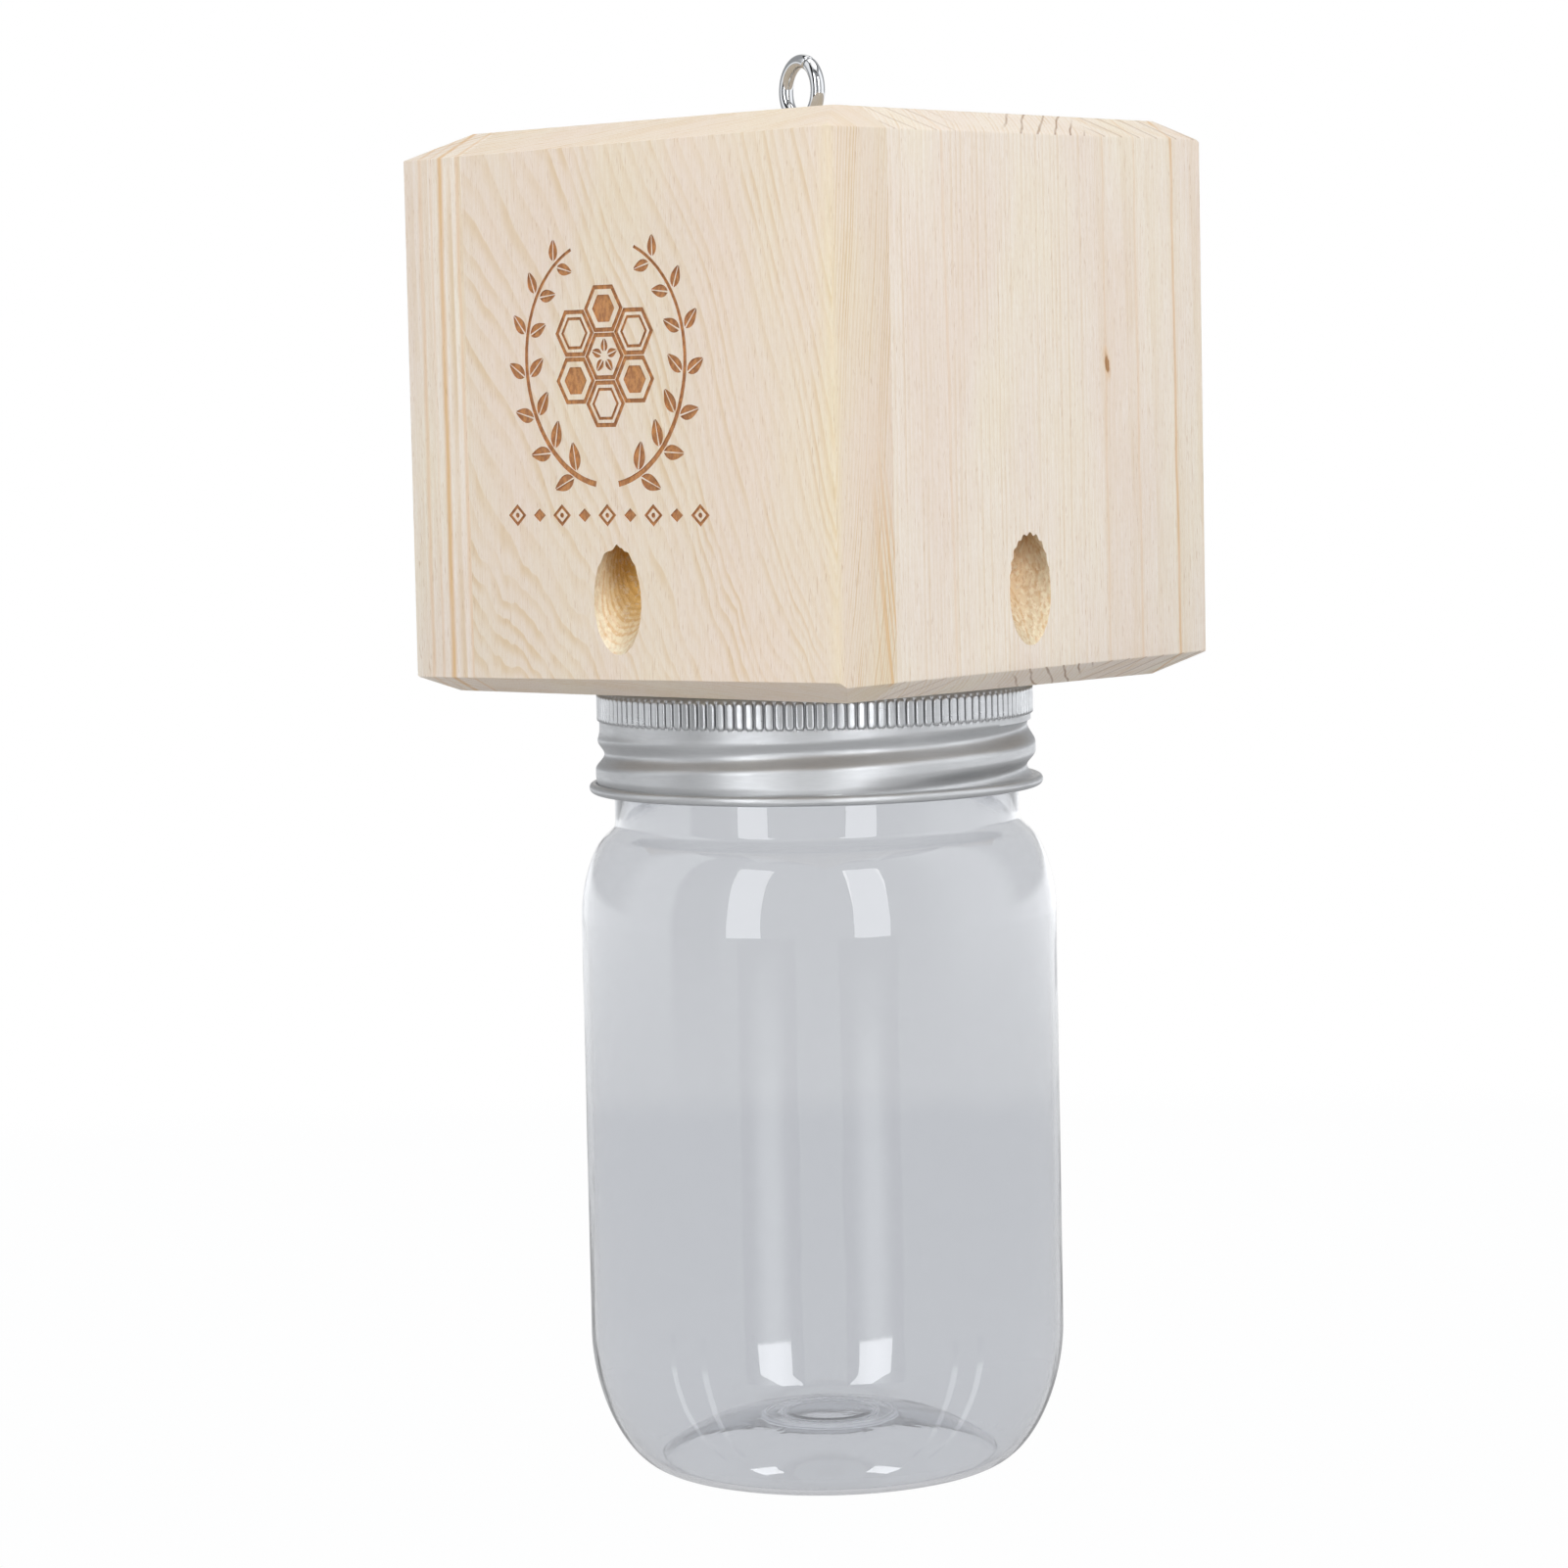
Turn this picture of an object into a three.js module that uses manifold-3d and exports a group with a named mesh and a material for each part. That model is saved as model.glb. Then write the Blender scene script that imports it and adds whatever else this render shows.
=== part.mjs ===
// A carpenter bee trap: a hollow pine block with an entry hole drilled upward in each side, hung by a
// screw eye, with the tin lid of a clear jar screwed under it. Bees climb in, fly down toward the light
// that comes through the hole in the lid, and end in the jar. Millimetres, +Z up.
//
// The origin is where a hook bears in the screw eye: the highest point inside its ring, on the axis of
// the block and the jar. The front of the block faces -Y.

import * as THREE from 'three';
import * as BufferGeometryUtils from 'three/addons/utils/BufferGeometryUtils.js';
import Module from 'manifold-3d';

const wasm = await Module();
wasm.setup();

// One overrun for every cut, how near two points are one, and the fits between the pieces
const cut_over = 2;
const merge_distance = 0.00001;
const glue_line = 0.1;
const screw_clearance = 0.15;
const band_clearance = 0.35;

// The pine block: four boards glued edge to face like a pinwheel, closed by a plate at each end
const block_side = 94;
const block_height = 92.4;
const board_thickness = 13.7;
const top_plate_thickness = 19;
const bottom_plate_thickness = 19;

// Its hand-sanded bevels: how far each runs in on the flat end and down the side
const top_bevel_inset = 6.8;
const top_bevel_drop = 3.9;
const bottom_bevel_inset = 6;
const bottom_bevel_drop = 3.3;

// Unevenness of the bevels, going round front, right, back and left: the drop at the first corner,
// the drop at the second, and the inset
const top_bevel_shares = [[1.1, 0.95, 1.17], [0.97, 0.8, 0.75], [0.9, 1, 1.02], [1, 1.08, 1.15]];
const bottom_bevel_shares = [[0.75, 1.12, 1.05], [0.85, 1.1, 0.95], [1.05, 1, 1.1], [0.95, 0.8, 0.9]];

// Entry holes, one in the middle of each side, and the hole down through the bottom plate
const entry_diameter = 10.5;
const entry_rise = 52;
const entry_height = 15.6;
const entry_sides = 28;
const drop_hole_diameter = 25.4;
const drop_hole_sides = 40;

// Screw eye of bent wire
const eye_wire = 2.4;
const eye_ring_diameter = 9.7;
const eye_over_wood = 0.1;
const eye_turn = -15.5;
const eye_gap = 0.5;
const eye_gap_angle = 28;
const eye_shank = 13;
const eye_thread_diameter = 2.9;
const eye_thread_pitch = 1.4;
const eye_tip = 2.6;
const eye_ring_steps = 36;
const eye_wire_sides = 10;
const eye_shank_sides = 12;

// Lid disc: a flat rim that seals on the jar, and a raised middle that bears on the wood
const disc_clearance = 1.65;
const panel_clearance = 0.7;
const disc_sheet = 0.5;
const disc_hole_margin = 0.3;
const disc_sides = 56;

// Sealing ring under the rim of the disc
const seal_margin = 0.2;
const seal_width = 2.8;
const seal_thickness = 0.8;

// Pan head screws that hold the disc to the wood
const screw_count = 4;
const screw_inset = 8.5;
const screw_first_angle = 45;
const screw_head_diameter = 6.4;
const screw_head_height = 1.9;
const screw_diameter = 2.8;
const screw_length = 12;
const screw_tip = 2.5;
const screw_slot_width = 0.9;
const screw_slot_depth = 0.8;
const screw_sides = 16;

// Screw band: a knurled grip, a rolled wall with the thread pressed into it, and a curled lower edge
const band_sheet = 0.45;
const band_height = 17.4;
const flange_width = 6.1;
const grip_diameter = 72.6;
const grip_height = 6.2;
const rib_count = 138;
const rib_height = 0.45;
const shoulder_round = 0.8;
const wall_flare = 0.75;
const wall_step = 0.5;
const groove_depth = 1.5;
const groove_width = 5.2;
const curl_diameter = 1.7;
const curl_overhang = 1.15;
const curl_steps = 5;
const band_columns = 48;
const wall_rows = 13;

// The thread of the band and the jar: right-handed, both given by the depth of the band's groove
// below the wood at one angle round the axis
const thread_pitch = 6.35;
const thread_depth_below_wood = 11.3;
const thread_angle = 222;
const groove_from = -50;
const groove_to = 425;
const groove_fade = 50;
const jar_thread_from = -15;
const jar_thread_to = 405;
const jar_thread_fade = 25;

// Jar of clear plastic
const jar_height = 129.8;
const jar_body_diameter = 80.2;
const jar_wall = 1;
const neck_clearance = 1.4;
const neck_bead_swell = 0.3;
const neck_bead_height = 7.2;
const neck_bead_step = 0.6;
const neck_height = 21.7;
const lip_round = 0.5;
const thread_clearance = 1.1;
const thread_base_width = 3.4;
const thread_crest_share = 0.45;
const shoulder_height = 14.8;
const base_corner_height = 22.6;
const base_corner_width = 11.8;
const base_dome_height = 6.9;
const gate_diameter = 22.4;
const gate_step = 0.5;
const corner_fullness = 1.8;
const dome_fullness = 2.2;
const jar_columns = 48;
const thread_rows = 13;
const corner_steps = 7;
const shoulder_steps = 6;
const dome_steps = 5;

const pine = new THREE.MeshStandardMaterial({ color: 0xe9dbc7, roughness: 0.75, metalness: 0 });
const board_pine = new THREE.MeshStandardMaterial({ color: 0xecdcc0, roughness: 0.75, metalness: 0 });
const chrome = new THREE.MeshStandardMaterial({ color: 0xd4d6d9, roughness: 0.1, metalness: 1 });
const tinplate = new THREE.MeshStandardMaterial({ color: 0xc4c4c2, roughness: 0.32, metalness: 1 });
const zinc = new THREE.MeshStandardMaterial({ color: 0xaeb0b2, roughness: 0.38, metalness: 1 });
const rubber = new THREE.MeshStandardMaterial({ color: 0x9c3f2c, roughness: 0.7, metalness: 0 });
const clear_plastic = new THREE.MeshStandardMaterial({
  color: 0xdfe2e6, roughness: 0.05, metalness: 0, transparent: true, opacity: 0.35,
});

const up = new THREE.Vector3(0, 0, 1);

function radians(degrees) {
  return THREE.MathUtils.degToRad(degrees);
}

// Solids for joining and cutting

function solid(geometry, matrix) {
  const bare = geometry.clone();
  bare.deleteAttribute('normal');
  bare.deleteAttribute('uv');
  if (matrix) bare.applyMatrix4(matrix);
  const merged = BufferGeometryUtils.mergeVertices(bare, merge_distance);
  return new wasm.Manifold(new wasm.Mesh({
    numProp: 3,
    vertProperties: new Float32Array(merged.attributes.position.array),
    triVerts: new Uint32Array(merged.index.array),
  }));
}

function geometryOf(manifold) {
  const mesh = manifold.getMesh();
  const geometry = new THREE.BufferGeometry();
  geometry.setAttribute('position', new THREE.BufferAttribute(new Float32Array(mesh.vertProperties), 3));
  geometry.setIndex(new THREE.BufferAttribute(new Uint32Array(mesh.triVerts), 1));
  return geometry;
}

function named(name, geometry, material) {
  geometry.computeVertexNormals();
  const mesh = new THREE.Mesh(geometry, material);
  mesh.name = name;
  return mesh;
}

function boxBetween(low, high) {
  const size = new THREE.Vector3().subVectors(high, low);
  const middle = new THREE.Vector3().addVectors(low, high).multiplyScalar(1 / 2);
  return solid(
    new THREE.BoxGeometry(size.x, size.y, size.z),
    new THREE.Matrix4().makeTranslation(middle.x, middle.y, middle.z),
  );
}

// A round bar from one point to another
function bar(from, to, diameter, sides) {
  const along = new THREE.Vector3().subVectors(to, from);
  const middle = new THREE.Vector3().addVectors(from, to).multiplyScalar(1 / 2);
  const turn = new THREE.Quaternion().setFromUnitVectors(
    new THREE.Vector3(0, 1, 0),
    along.clone().normalize(),
  );
  return solid(
    new THREE.CylinderGeometry(diameter / 2, diameter / 2, along.length(), sides),
    new THREE.Matrix4().compose(middle, turn, new THREE.Vector3(1, 1, 1)),
  );
}

// Turned shapes: a stack of rings round the Z axis, joined row by row. A row is a radius, a height, a
// number of columns and, where it isn't round, a function of the angle that gives the radius. A row on
// the axis is one point.

function ringPoints(row) {
  if (row.radius === 0) return [new THREE.Vector3(0, 0, row.z)];
  const points = [];
  for (let column = 0; column < row.columns; column += 1) {
    const angle = (column / row.columns) * 2 * Math.PI;
    const radius = row.radiusAt ? row.radiusAt(angle) : row.radius;
    points.push(new THREE.Vector3(radius * Math.cos(angle), radius * Math.sin(angle), row.z));
  }
  return points;
}

// Triangles between two rings that may have different numbers of points
function joinRings(lower, higher, lowerStart, higherStart, index) {
  let a = 0;
  let b = 0;
  const lowerSteps = lower.length === 1 ? 0 : lower.length;
  const higherSteps = higher.length === 1 ? 0 : higher.length;
  while (a < lowerSteps || b < higherSteps) {
    const lowerNow = lowerStart + (a % lower.length);
    const higherNow = higherStart + (b % higher.length);
    const stepLower = b >= higherSteps
      || (a < lowerSteps && (a + 1) / lowerSteps <= (b + 1) / higherSteps);
    if (stepLower) {
      a += 1;
      index.push(lowerNow, lowerStart + (a % lower.length), higherNow);
    } else {
      b += 1;
      index.push(lowerNow, higherStart + (b % higher.length), higherNow);
    }
  }
}

// The rows run up the outside and down the inside; a closed profile joins its last row to its first
function turned(rows, closed) {
  const rings = rows.map(ringPoints);
  const positions = [];
  const starts = [];
  for (const ring of rings) {
    starts.push(positions.length / 3);
    for (const point of ring) positions.push(point.x, point.y, point.z);
  }
  const index = [];
  const joins = closed ? rings.length : rings.length - 1;
  for (let row = 0; row < joins; row += 1) {
    const next = (row + 1) % rings.length;
    joinRings(rings[row], rings[next], starts[row], starts[next], index);
  }
  const geometry = new THREE.BufferGeometry();
  geometry.setAttribute('position', new THREE.Float32BufferAttribute(positions, 3));
  geometry.setIndex(index);
  return geometry;
}

function plainRow(radius, z, columns) {
  return { radius, z, columns };
}

// A smooth hump, 1 in the middle and 0 at both ends of its width
function hump(offset, width) {
  if (Math.abs(offset) >= width / 2) return 0;
  return Math.cos((Math.PI * offset) / width) ** 2;
}

function fadeIn(value, length) {
  return THREE.MathUtils.smoothstep(value, 0, length);
}

// Heights that the pieces share
const eye_centre = -(eye_ring_diameter - eye_wire) / 2;
const block_top = eye_centre - (eye_ring_diameter + eye_wire) / 2 - eye_over_wood;
const block_bottom = block_top - block_height;
const flange_top = block_bottom - band_clearance;
const flange_bottom = flange_top - band_sheet;
const rim_top = flange_bottom - band_clearance;
const rim_bottom = rim_top - disc_sheet;
const lip_top = rim_bottom - seal_thickness;
const band_bottom = flange_top - band_height;
const jar_bottom = lip_top - jar_height;

// Radii that the pieces share, from the band inward
const grip = grip_diameter / 2;
const band_wall = grip + wall_flare;
const curl_reach = band_wall + curl_overhang;
const flange = grip - flange_width;
const disc_rim = grip - band_sheet - disc_clearance;
const disc_panel = flange - panel_clearance;
const disc_hole = drop_hole_diameter / 2 + disc_hole_margin;
const screw_ring = disc_panel - screw_inset;
const seal_outer = disc_rim - seal_margin;
const seal_inner = seal_outer - seal_width;
const neck_root = band_wall - band_sheet - groove_depth - neck_clearance;
const neck_bead = neck_root + neck_bead_swell;
const thread_crest = band_wall - band_sheet - thread_clearance;

const face = block_side / 2;
const inner_face = face - board_thickness;

// The block

// Everything beyond a plane through three points, on the side that their order turns toward
function beyondPlane(first, second, third) {
  const along = new THREE.Vector3().subVectors(second, first).normalize();
  const across = new THREE.Vector3().subVectors(third, first);
  const normal = new THREE.Vector3().crossVectors(along, across).normalize();
  const inward = new THREE.Vector3().crossVectors(normal, along);
  const reach = 2 * (block_side + block_height);
  const middle = first.clone().addScaledVector(normal, reach / 2);
  const matrix = new THREE.Matrix4().makeBasis(along, inward, normal).setPosition(middle);
  return solid(new THREE.BoxGeometry(2 * reach, 2 * reach, reach), matrix);
}

// The four bevels at one end of the block; way is 1 at the top and -1 at the bottom
function bevelCuts(end, way, inset_size, drop, shares) {
  const corners = [[-face, -face], [face, -face], [face, face], [-face, face]];
  return shares.map(([firstShare, secondShare, insetShare], side) => {
    const [x1, y1] = corners[side];
    const [x2, y2] = corners[(side + 1) % corners.length];
    const first = new THREE.Vector3(x1, y1, end - way * drop * firstShare);
    const second = new THREE.Vector3(x2, y2, end - way * drop * secondShare);
    const middle = new THREE.Vector3((x1 + x2) / 2, (y1 + y2) / 2, end);
    const outward = new THREE.Vector3(middle.x, middle.y, 0).normalize();
    const third = middle.addScaledVector(outward, -inset_size * insetShare);
    return way > 0 ? beyondPlane(first, second, third) : beyondPlane(second, first, third);
  });
}

// The slanted entry hole in the middle of the front side
function entryHole() {
  const rise = Math.tan(radians(entry_rise));
  const mouth = block_bottom + entry_height;
  const over = entry_diameter;
  return bar(
    new THREE.Vector3(0, -face - over, mouth - over * rise),
    new THREE.Vector3(0, -inner_face + over, mouth + (board_thickness + over) * rise),
    entry_diameter,
    entry_sides,
  );
}

// A board as it stands at the front, turned to its own side: its right end runs to the corner, and
// its left end butts against the next board
function sideBoard(name, quarter, bevels, material) {
  const board = boxBetween(
    new THREE.Vector3(-inner_face + glue_line, -face, block_bottom),
    new THREE.Vector3(face, -inner_face, block_top),
  );
  const drilled = board.subtract(entryHole());
  const turn = new THREE.Matrix4().makeRotationZ((quarter * Math.PI) / 2);
  const placed = solid(geometryOf(drilled), turn);
  const trimmed = bevels.reduce((left_over, cutter) => left_over.subtract(cutter), placed);
  return named(name, geometryOf(trimmed), material);
}

// A square plate that fills the space between the boards from one height to another
function endPlate(name, bottom, top, holes, material) {
  const reach = inner_face - glue_line;
  const plate = boxBetween(
    new THREE.Vector3(-reach, -reach, bottom),
    new THREE.Vector3(reach, reach, top),
  );
  const drilled = holes.reduce((left_over, cutter) => left_over.subtract(cutter), plate);
  return named(name, geometryOf(drilled), material);
}

function screwPlace(number) {
  const angle = radians(screw_first_angle) + (number / screw_count) * 2 * Math.PI;
  return new THREE.Vector3(Math.cos(angle), Math.sin(angle), 0).multiplyScalar(screw_ring);
}

// A hole for each lid screw from one height to another
function screwHoles(from, to) {
  const holes = [];
  for (let number = 0; number < screw_count; number += 1) {
    const place = screwPlace(number);
    holes.push(bar(
      new THREE.Vector3(place.x, place.y, from),
      new THREE.Vector3(place.x, place.y, to),
      screw_diameter + 2 * screw_clearance,
      screw_sides,
    ));
  }
  return holes;
}

function block() {
  const bevels = [
    ...bevelCuts(block_top, 1, top_bevel_inset, top_bevel_drop, top_bevel_shares),
    ...bevelCuts(block_bottom, -1, bottom_bevel_inset, bottom_bevel_drop, bottom_bevel_shares),
  ];
  const eye_hole = bar(
    new THREE.Vector3(0, 0, block_top - eye_shank - screw_clearance),
    new THREE.Vector3(0, 0, block_top + cut_over),
    eye_thread_diameter + 2 * screw_clearance,
    eye_shank_sides,
  );
  const drop_hole = bar(
    new THREE.Vector3(0, 0, block_bottom - cut_over),
    new THREE.Vector3(0, 0, block_bottom + bottom_plate_thickness + cut_over),
    drop_hole_diameter,
    drop_hole_sides,
  );
  const lid_holes = screwHoles(block_bottom - cut_over, block_bottom + screw_length);
  const plate_bottom = block_top - top_plate_thickness;
  const plate_top = block_bottom + bottom_plate_thickness;
  return [
    sideBoard('front_board', 0, bevels, board_pine),
    sideBoard('right_board', 1, bevels, pine),
    sideBoard('back_board', 2, bevels, pine),
    sideBoard('left_board', 3, bevels, pine),
    endPlate('top_plate', plate_bottom, block_top, [eye_hole], pine),
    endPlate('bottom_plate', block_bottom, plate_top, [drop_hole, ...lid_holes], pine),
  ];
}

// The screw eye

// Rows of a screw's shank from its tip to its neck, with the thread as a wave that climbs round it
function shankRows(tip, neck, tipLength, diameter, threadDiameter, pitch, sides) {
  const height = (threadDiameter - diameter) / 2;
  const steps = Math.round((neck - tip - tipLength) / (pitch / 4));
  const rows = [plainRow(0, tip, 1)];
  for (let step = 0; step <= steps; step += 1) {
    const z = tip + tipLength + (step / steps) * (neck - tip - tipLength);
    const fade = fadeIn(neck - z, pitch);
    rows.push({
      radius: diameter / 2,
      z,
      columns: sides,
      radiusAt: (angle) => {
        const phase = (2 * Math.PI * z) / pitch - angle;
        return diameter / 2 + (height * fade * (1 + Math.cos(phase))) / 2;
      },
    });
  }
  return rows;
}

function screwEye() {
  const stand = new THREE.Matrix4()
    .makeRotationZ(radians(eye_turn))
    .multiply(new THREE.Matrix4().makeRotationX(Math.PI / 2))
    .setPosition(0, 0, eye_centre);
  const ring = solid(
    new THREE.TorusGeometry(eye_ring_diameter / 2, eye_wire / 2, eye_wire_sides, eye_ring_steps),
    stand,
  );
  const ring_foot = eye_centre - eye_ring_diameter / 2;
  const rows = shankRows(
    block_top - eye_shank,
    block_top,
    eye_tip,
    eye_wire - (eye_thread_diameter - eye_wire),
    eye_thread_diameter,
    eye_thread_pitch,
    eye_shank_sides,
  );
  rows.push(plainRow(eye_wire / 2, ring_foot, eye_shank_sides));
  rows.push(plainRow(0, ring_foot, 1));
  const shank = solid(turned(rows, false));
  const gap_angle = radians(eye_gap_angle);
  const gap_place = new THREE.Matrix4()
    .makeRotationZ(radians(eye_turn))
    .multiply(new THREE.Matrix4().makeTranslation(0, 0, eye_centre))
    .multiply(new THREE.Matrix4().makeRotationY(gap_angle))
    .multiply(new THREE.Matrix4().makeTranslation(0, 0, -eye_ring_diameter / 2));
  const gap = solid(
    new THREE.BoxGeometry(eye_gap, eye_wire + cut_over, eye_wire + cut_over),
    gap_place,
  );
  return named('screw_eye', geometryOf(ring.subtract(gap).add(shank)), chrome);
}

// The lid

function lidDisc() {
  const profile = [
    [disc_hole, block_bottom - disc_sheet],
    [disc_panel - disc_sheet, block_bottom - disc_sheet],
    [disc_panel - disc_sheet, rim_bottom],
    [disc_rim, rim_bottom],
    [disc_rim, rim_top],
    [disc_panel, rim_top],
    [disc_panel, block_bottom],
    [disc_hole, block_bottom],
  ];
  const plate = solid(turned(profile.map(([r, z]) => plainRow(r, z, disc_sides)), true));
  const holes = screwHoles(block_bottom - cut_over, block_bottom + cut_over);
  const drilled = holes.reduce((left_over, hole_bar) => left_over.subtract(hole_bar), plate);
  return named('lid_disc', geometryOf(drilled), tinplate);
}

function lidSeal() {
  const profile = [
    [seal_outer, lip_top],
    [seal_outer, rim_bottom],
    [seal_inner, rim_bottom],
    [seal_inner, lip_top],
  ];
  const rows = profile.map(([r, z]) => plainRow(r, z, disc_sides));
  return named('lid_seal', turned(rows, true), rubber);
}

// A pan head screw under the disc, its shank up into the wood
function lidScrew(number) {
  const place = screwPlace(number);
  const seat = block_bottom - disc_sheet;
  const head = screw_head_diameter / 2;
  const shank = screw_diameter / 2;
  const profile = [
    [0, seat - screw_head_height],
    [head * Math.SQRT1_2, seat - screw_head_height],
    [head, seat - screw_head_height / 2],
    [head, seat],
    [shank, seat],
    [shank, block_bottom + screw_length - screw_tip - screw_clearance],
    [0, block_bottom + screw_length - screw_clearance],
  ];
  const body = solid(turned(profile.map(([r, z]) => plainRow(r, z, screw_sides)), false));
  const slot = boxBetween(
    new THREE.Vector3(-screw_head_diameter, -screw_slot_width / 2, seat - screw_head_height - cut_over),
    new THREE.Vector3(
      screw_head_diameter,
      screw_slot_width / 2,
      seat - screw_head_height + screw_slot_depth,
    ),
  );
  const screw = named(`lid_screw_${number + 1}`, geometryOf(body.subtract(slot)), zinc);
  screw.position.set(place.x, place.y, 0);
  return screw;
}

// Height of the thread groove's middle at an angle that goes on past a full turn
function grooveHeight(degrees) {
  return block_bottom - thread_depth_below_wood + ((degrees - thread_angle) / 360) * thread_pitch;
}

// Sum over the turns of a thread that pass one angle: its fade there times its shape
function threadAt(angle, from, to, fade, shape) {
  let sum = 0;
  const degrees = THREE.MathUtils.radToDeg(angle);
  for (let turn = Math.floor(from / 360); turn <= Math.ceil(to / 360); turn += 1) {
    const here = degrees + 360 * turn;
    if (here > from && here < to) {
      sum += fadeIn(here - from, fade) * fadeIn(to - here, fade) * shape(here);
    }
  }
  return sum;
}

function lidBand() {
  const grip_top = flange_top - shoulder_round;
  const grip_bottom = flange_top - grip_height;
  const wall_top = grip_bottom - wall_step;
  const curl_centre = band_bottom + curl_diameter / 2;
  const wall_bottom = band_bottom + curl_diameter + wall_step;

  const wallRow = (radius, z) => ({
    radius,
    z,
    columns: band_columns,
    radiusAt: (angle) => radius - groove_depth * threadAt(
      angle,
      groove_from,
      groove_to,
      groove_fade,
      (here) => hump(z - grooveHeight(here), groove_width),
    ),
  });
  const wallRows = (radius) => {
    const rows = [];
    for (let row = 0; row <= wall_rows; row += 1) {
      rows.push(wallRow(radius, wall_bottom + (row / wall_rows) * (wall_top - wall_bottom)));
    }
    return rows;
  };
  // Each rib has one point on its crest and one in the valley beside it
  const ribRow = (radius, z, height) => ({
    radius,
    z,
    columns: 2 * rib_count,
    radiusAt: (angle) => radius + (height / 2) * (1 + Math.cos(rib_count * angle)),
  });

  const outside = [];
  for (let step = 0; step <= curl_steps; step += 1) {
    const angle = -Math.PI / 2 + (step / curl_steps) * Math.PI;
    const radius = curl_reach - curl_diameter / 2 + (curl_diameter / 2) * Math.cos(angle);
    outside.push(plainRow(radius, curl_centre + (curl_diameter / 2) * Math.sin(angle), band_columns));
  }
  outside.push(...wallRows(band_wall));
  outside.push(plainRow(grip, grip_bottom, band_columns));
  outside.push(ribRow(grip, grip_bottom + wall_step, rib_height));
  outside.push(ribRow(grip, grip_top, rib_height));
  outside.push(plainRow(grip - shoulder_round * (1 - Math.SQRT1_2), grip_top
    + shoulder_round * Math.SQRT1_2, band_columns));
  outside.push(plainRow(grip - shoulder_round, flange_top, band_columns));
  outside.push(plainRow(flange, flange_top, band_columns));

  const inner_wall = band_wall - band_sheet;
  const inner_grip = grip - band_sheet;
  const inside = [
    plainRow(flange, flange_bottom, band_columns),
    plainRow(inner_grip - shoulder_round, flange_bottom, band_columns),
    plainRow(inner_grip, flange_bottom - shoulder_round, band_columns),
    plainRow(inner_grip, grip_bottom, band_columns),
    ...wallRows(inner_wall).reverse(),
    plainRow(inner_wall, curl_centre, band_columns),
  ];
  return named('lid_band', turned([...outside, ...inside], true), tinplate);
}

// The jar

// A quarter of a rounded corner, from one end to the other, as shares of its width and height
function cornerShares(steps, fullness) {
  const shares = [];
  for (let step = 0; step <= steps; step += 1) {
    const angle = (step / steps) * (Math.PI / 2);
    shares.push([Math.sin(angle) ** (2 / fullness), 1 - Math.cos(angle) ** (2 / fullness)]);
  }
  return shares;
}

// A profile moved by a wall thickness to its left as it runs
function inset(profile, distance) {
  return profile.map(([radius, z], place) => {
    const before = profile[Math.max(place - 1, 0)];
    const after = profile[Math.min(place + 1, profile.length - 1)];
    const along = new THREE.Vector2(after[0] - before[0], after[1] - before[1]).normalize();
    return [Math.max(radius - along.y * distance, 0), z + along.x * distance];
  });
}

function jar() {
  const body = jar_body_diameter / 2;
  const shoulder_top = lip_top - neck_height;
  const shoulder_bottom = shoulder_top - shoulder_height;
  const corner_top = jar_bottom + base_corner_height;
  const foot = body - base_corner_width;
  const bead_top = shoulder_top + neck_bead_height;
  const thread_bottom = bead_top + neck_bead_step;
  const thread_top = lip_top - 2 * lip_round;
  const gate = gate_diameter / 2;

  // The base, from the gate in the middle of its dome out to the foot and up to the body
  const base = [[0, jar_bottom + base_dome_height], [gate - gate_step, jar_bottom + base_dome_height]];
  for (let step = 0; step <= dome_steps; step += 1) {
    const share = step / dome_steps;
    const drop = (base_dome_height - gate_step) * (1 - share ** dome_fullness);
    base.push([foot - (foot - gate) * (1 - share), jar_bottom + drop]);
  }
  base.splice(-1, 1);
  for (const [width, height] of cornerShares(corner_steps, corner_fullness)) {
    base.push([foot + base_corner_width * width, jar_bottom + base_corner_height * height]);
  }
  const shoulder = cornerShares(shoulder_steps, corner_fullness).map(([width, height]) => [
    body - (body - neck_bead) * height,
    shoulder_bottom + shoulder_height * width,
  ]);
  const outer = [...base.slice(0, -1), [body, corner_top], ...shoulder];

  const threadRow = (z) => ({
    radius: neck_root,
    z,
    columns: jar_columns,
    radiusAt: (angle) => neck_root + (thread_crest - neck_root) * Math.min(1, threadAt(
      angle,
      jar_thread_from,
      jar_thread_to,
      jar_thread_fade,
      (here) => {
        const offset = Math.abs(z - grooveHeight(here) - thread_pitch / 2);
        const slope = (thread_base_width / 2) * (1 - thread_crest_share);
        return THREE.MathUtils.clamp((thread_base_width / 2 - offset) / slope, 0, 1);
      },
    )),
  });
  const rows = outer.map(([radius, z]) => plainRow(radius, z, jar_columns));
  rows.push(plainRow(neck_bead, bead_top, jar_columns));
  for (let row = 0; row <= thread_rows; row += 1) {
    rows.push(threadRow(thread_bottom + (row / thread_rows) * (thread_top - thread_bottom)));
  }
  rows.push(plainRow(neck_root, lip_top - lip_round, jar_columns));
  rows.push(plainRow(neck_root - lip_round, lip_top, jar_columns));
  const lip_inner = neck_root - 2 * jar_wall;
  rows.push(plainRow(lip_inner, lip_top, jar_columns));
  rows.push(plainRow(lip_inner, bead_top, jar_columns));
  const inner = inset(outer, jar_wall).reverse();
  for (const [radius, z] of inner) rows.push(plainRow(radius, z, jar_columns));
  return named('jar', turned(rows, false), clear_plastic);
}

const trap = new THREE.Group();
trap.add(...block());
trap.add(screwEye());
trap.add(lidDisc());
trap.add(lidSeal());
for (let number = 0; number < screw_count; number += 1) trap.add(lidScrew(number));
trap.add(lidBand());
trap.add(jar());

export default trap;
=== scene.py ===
import math

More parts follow.
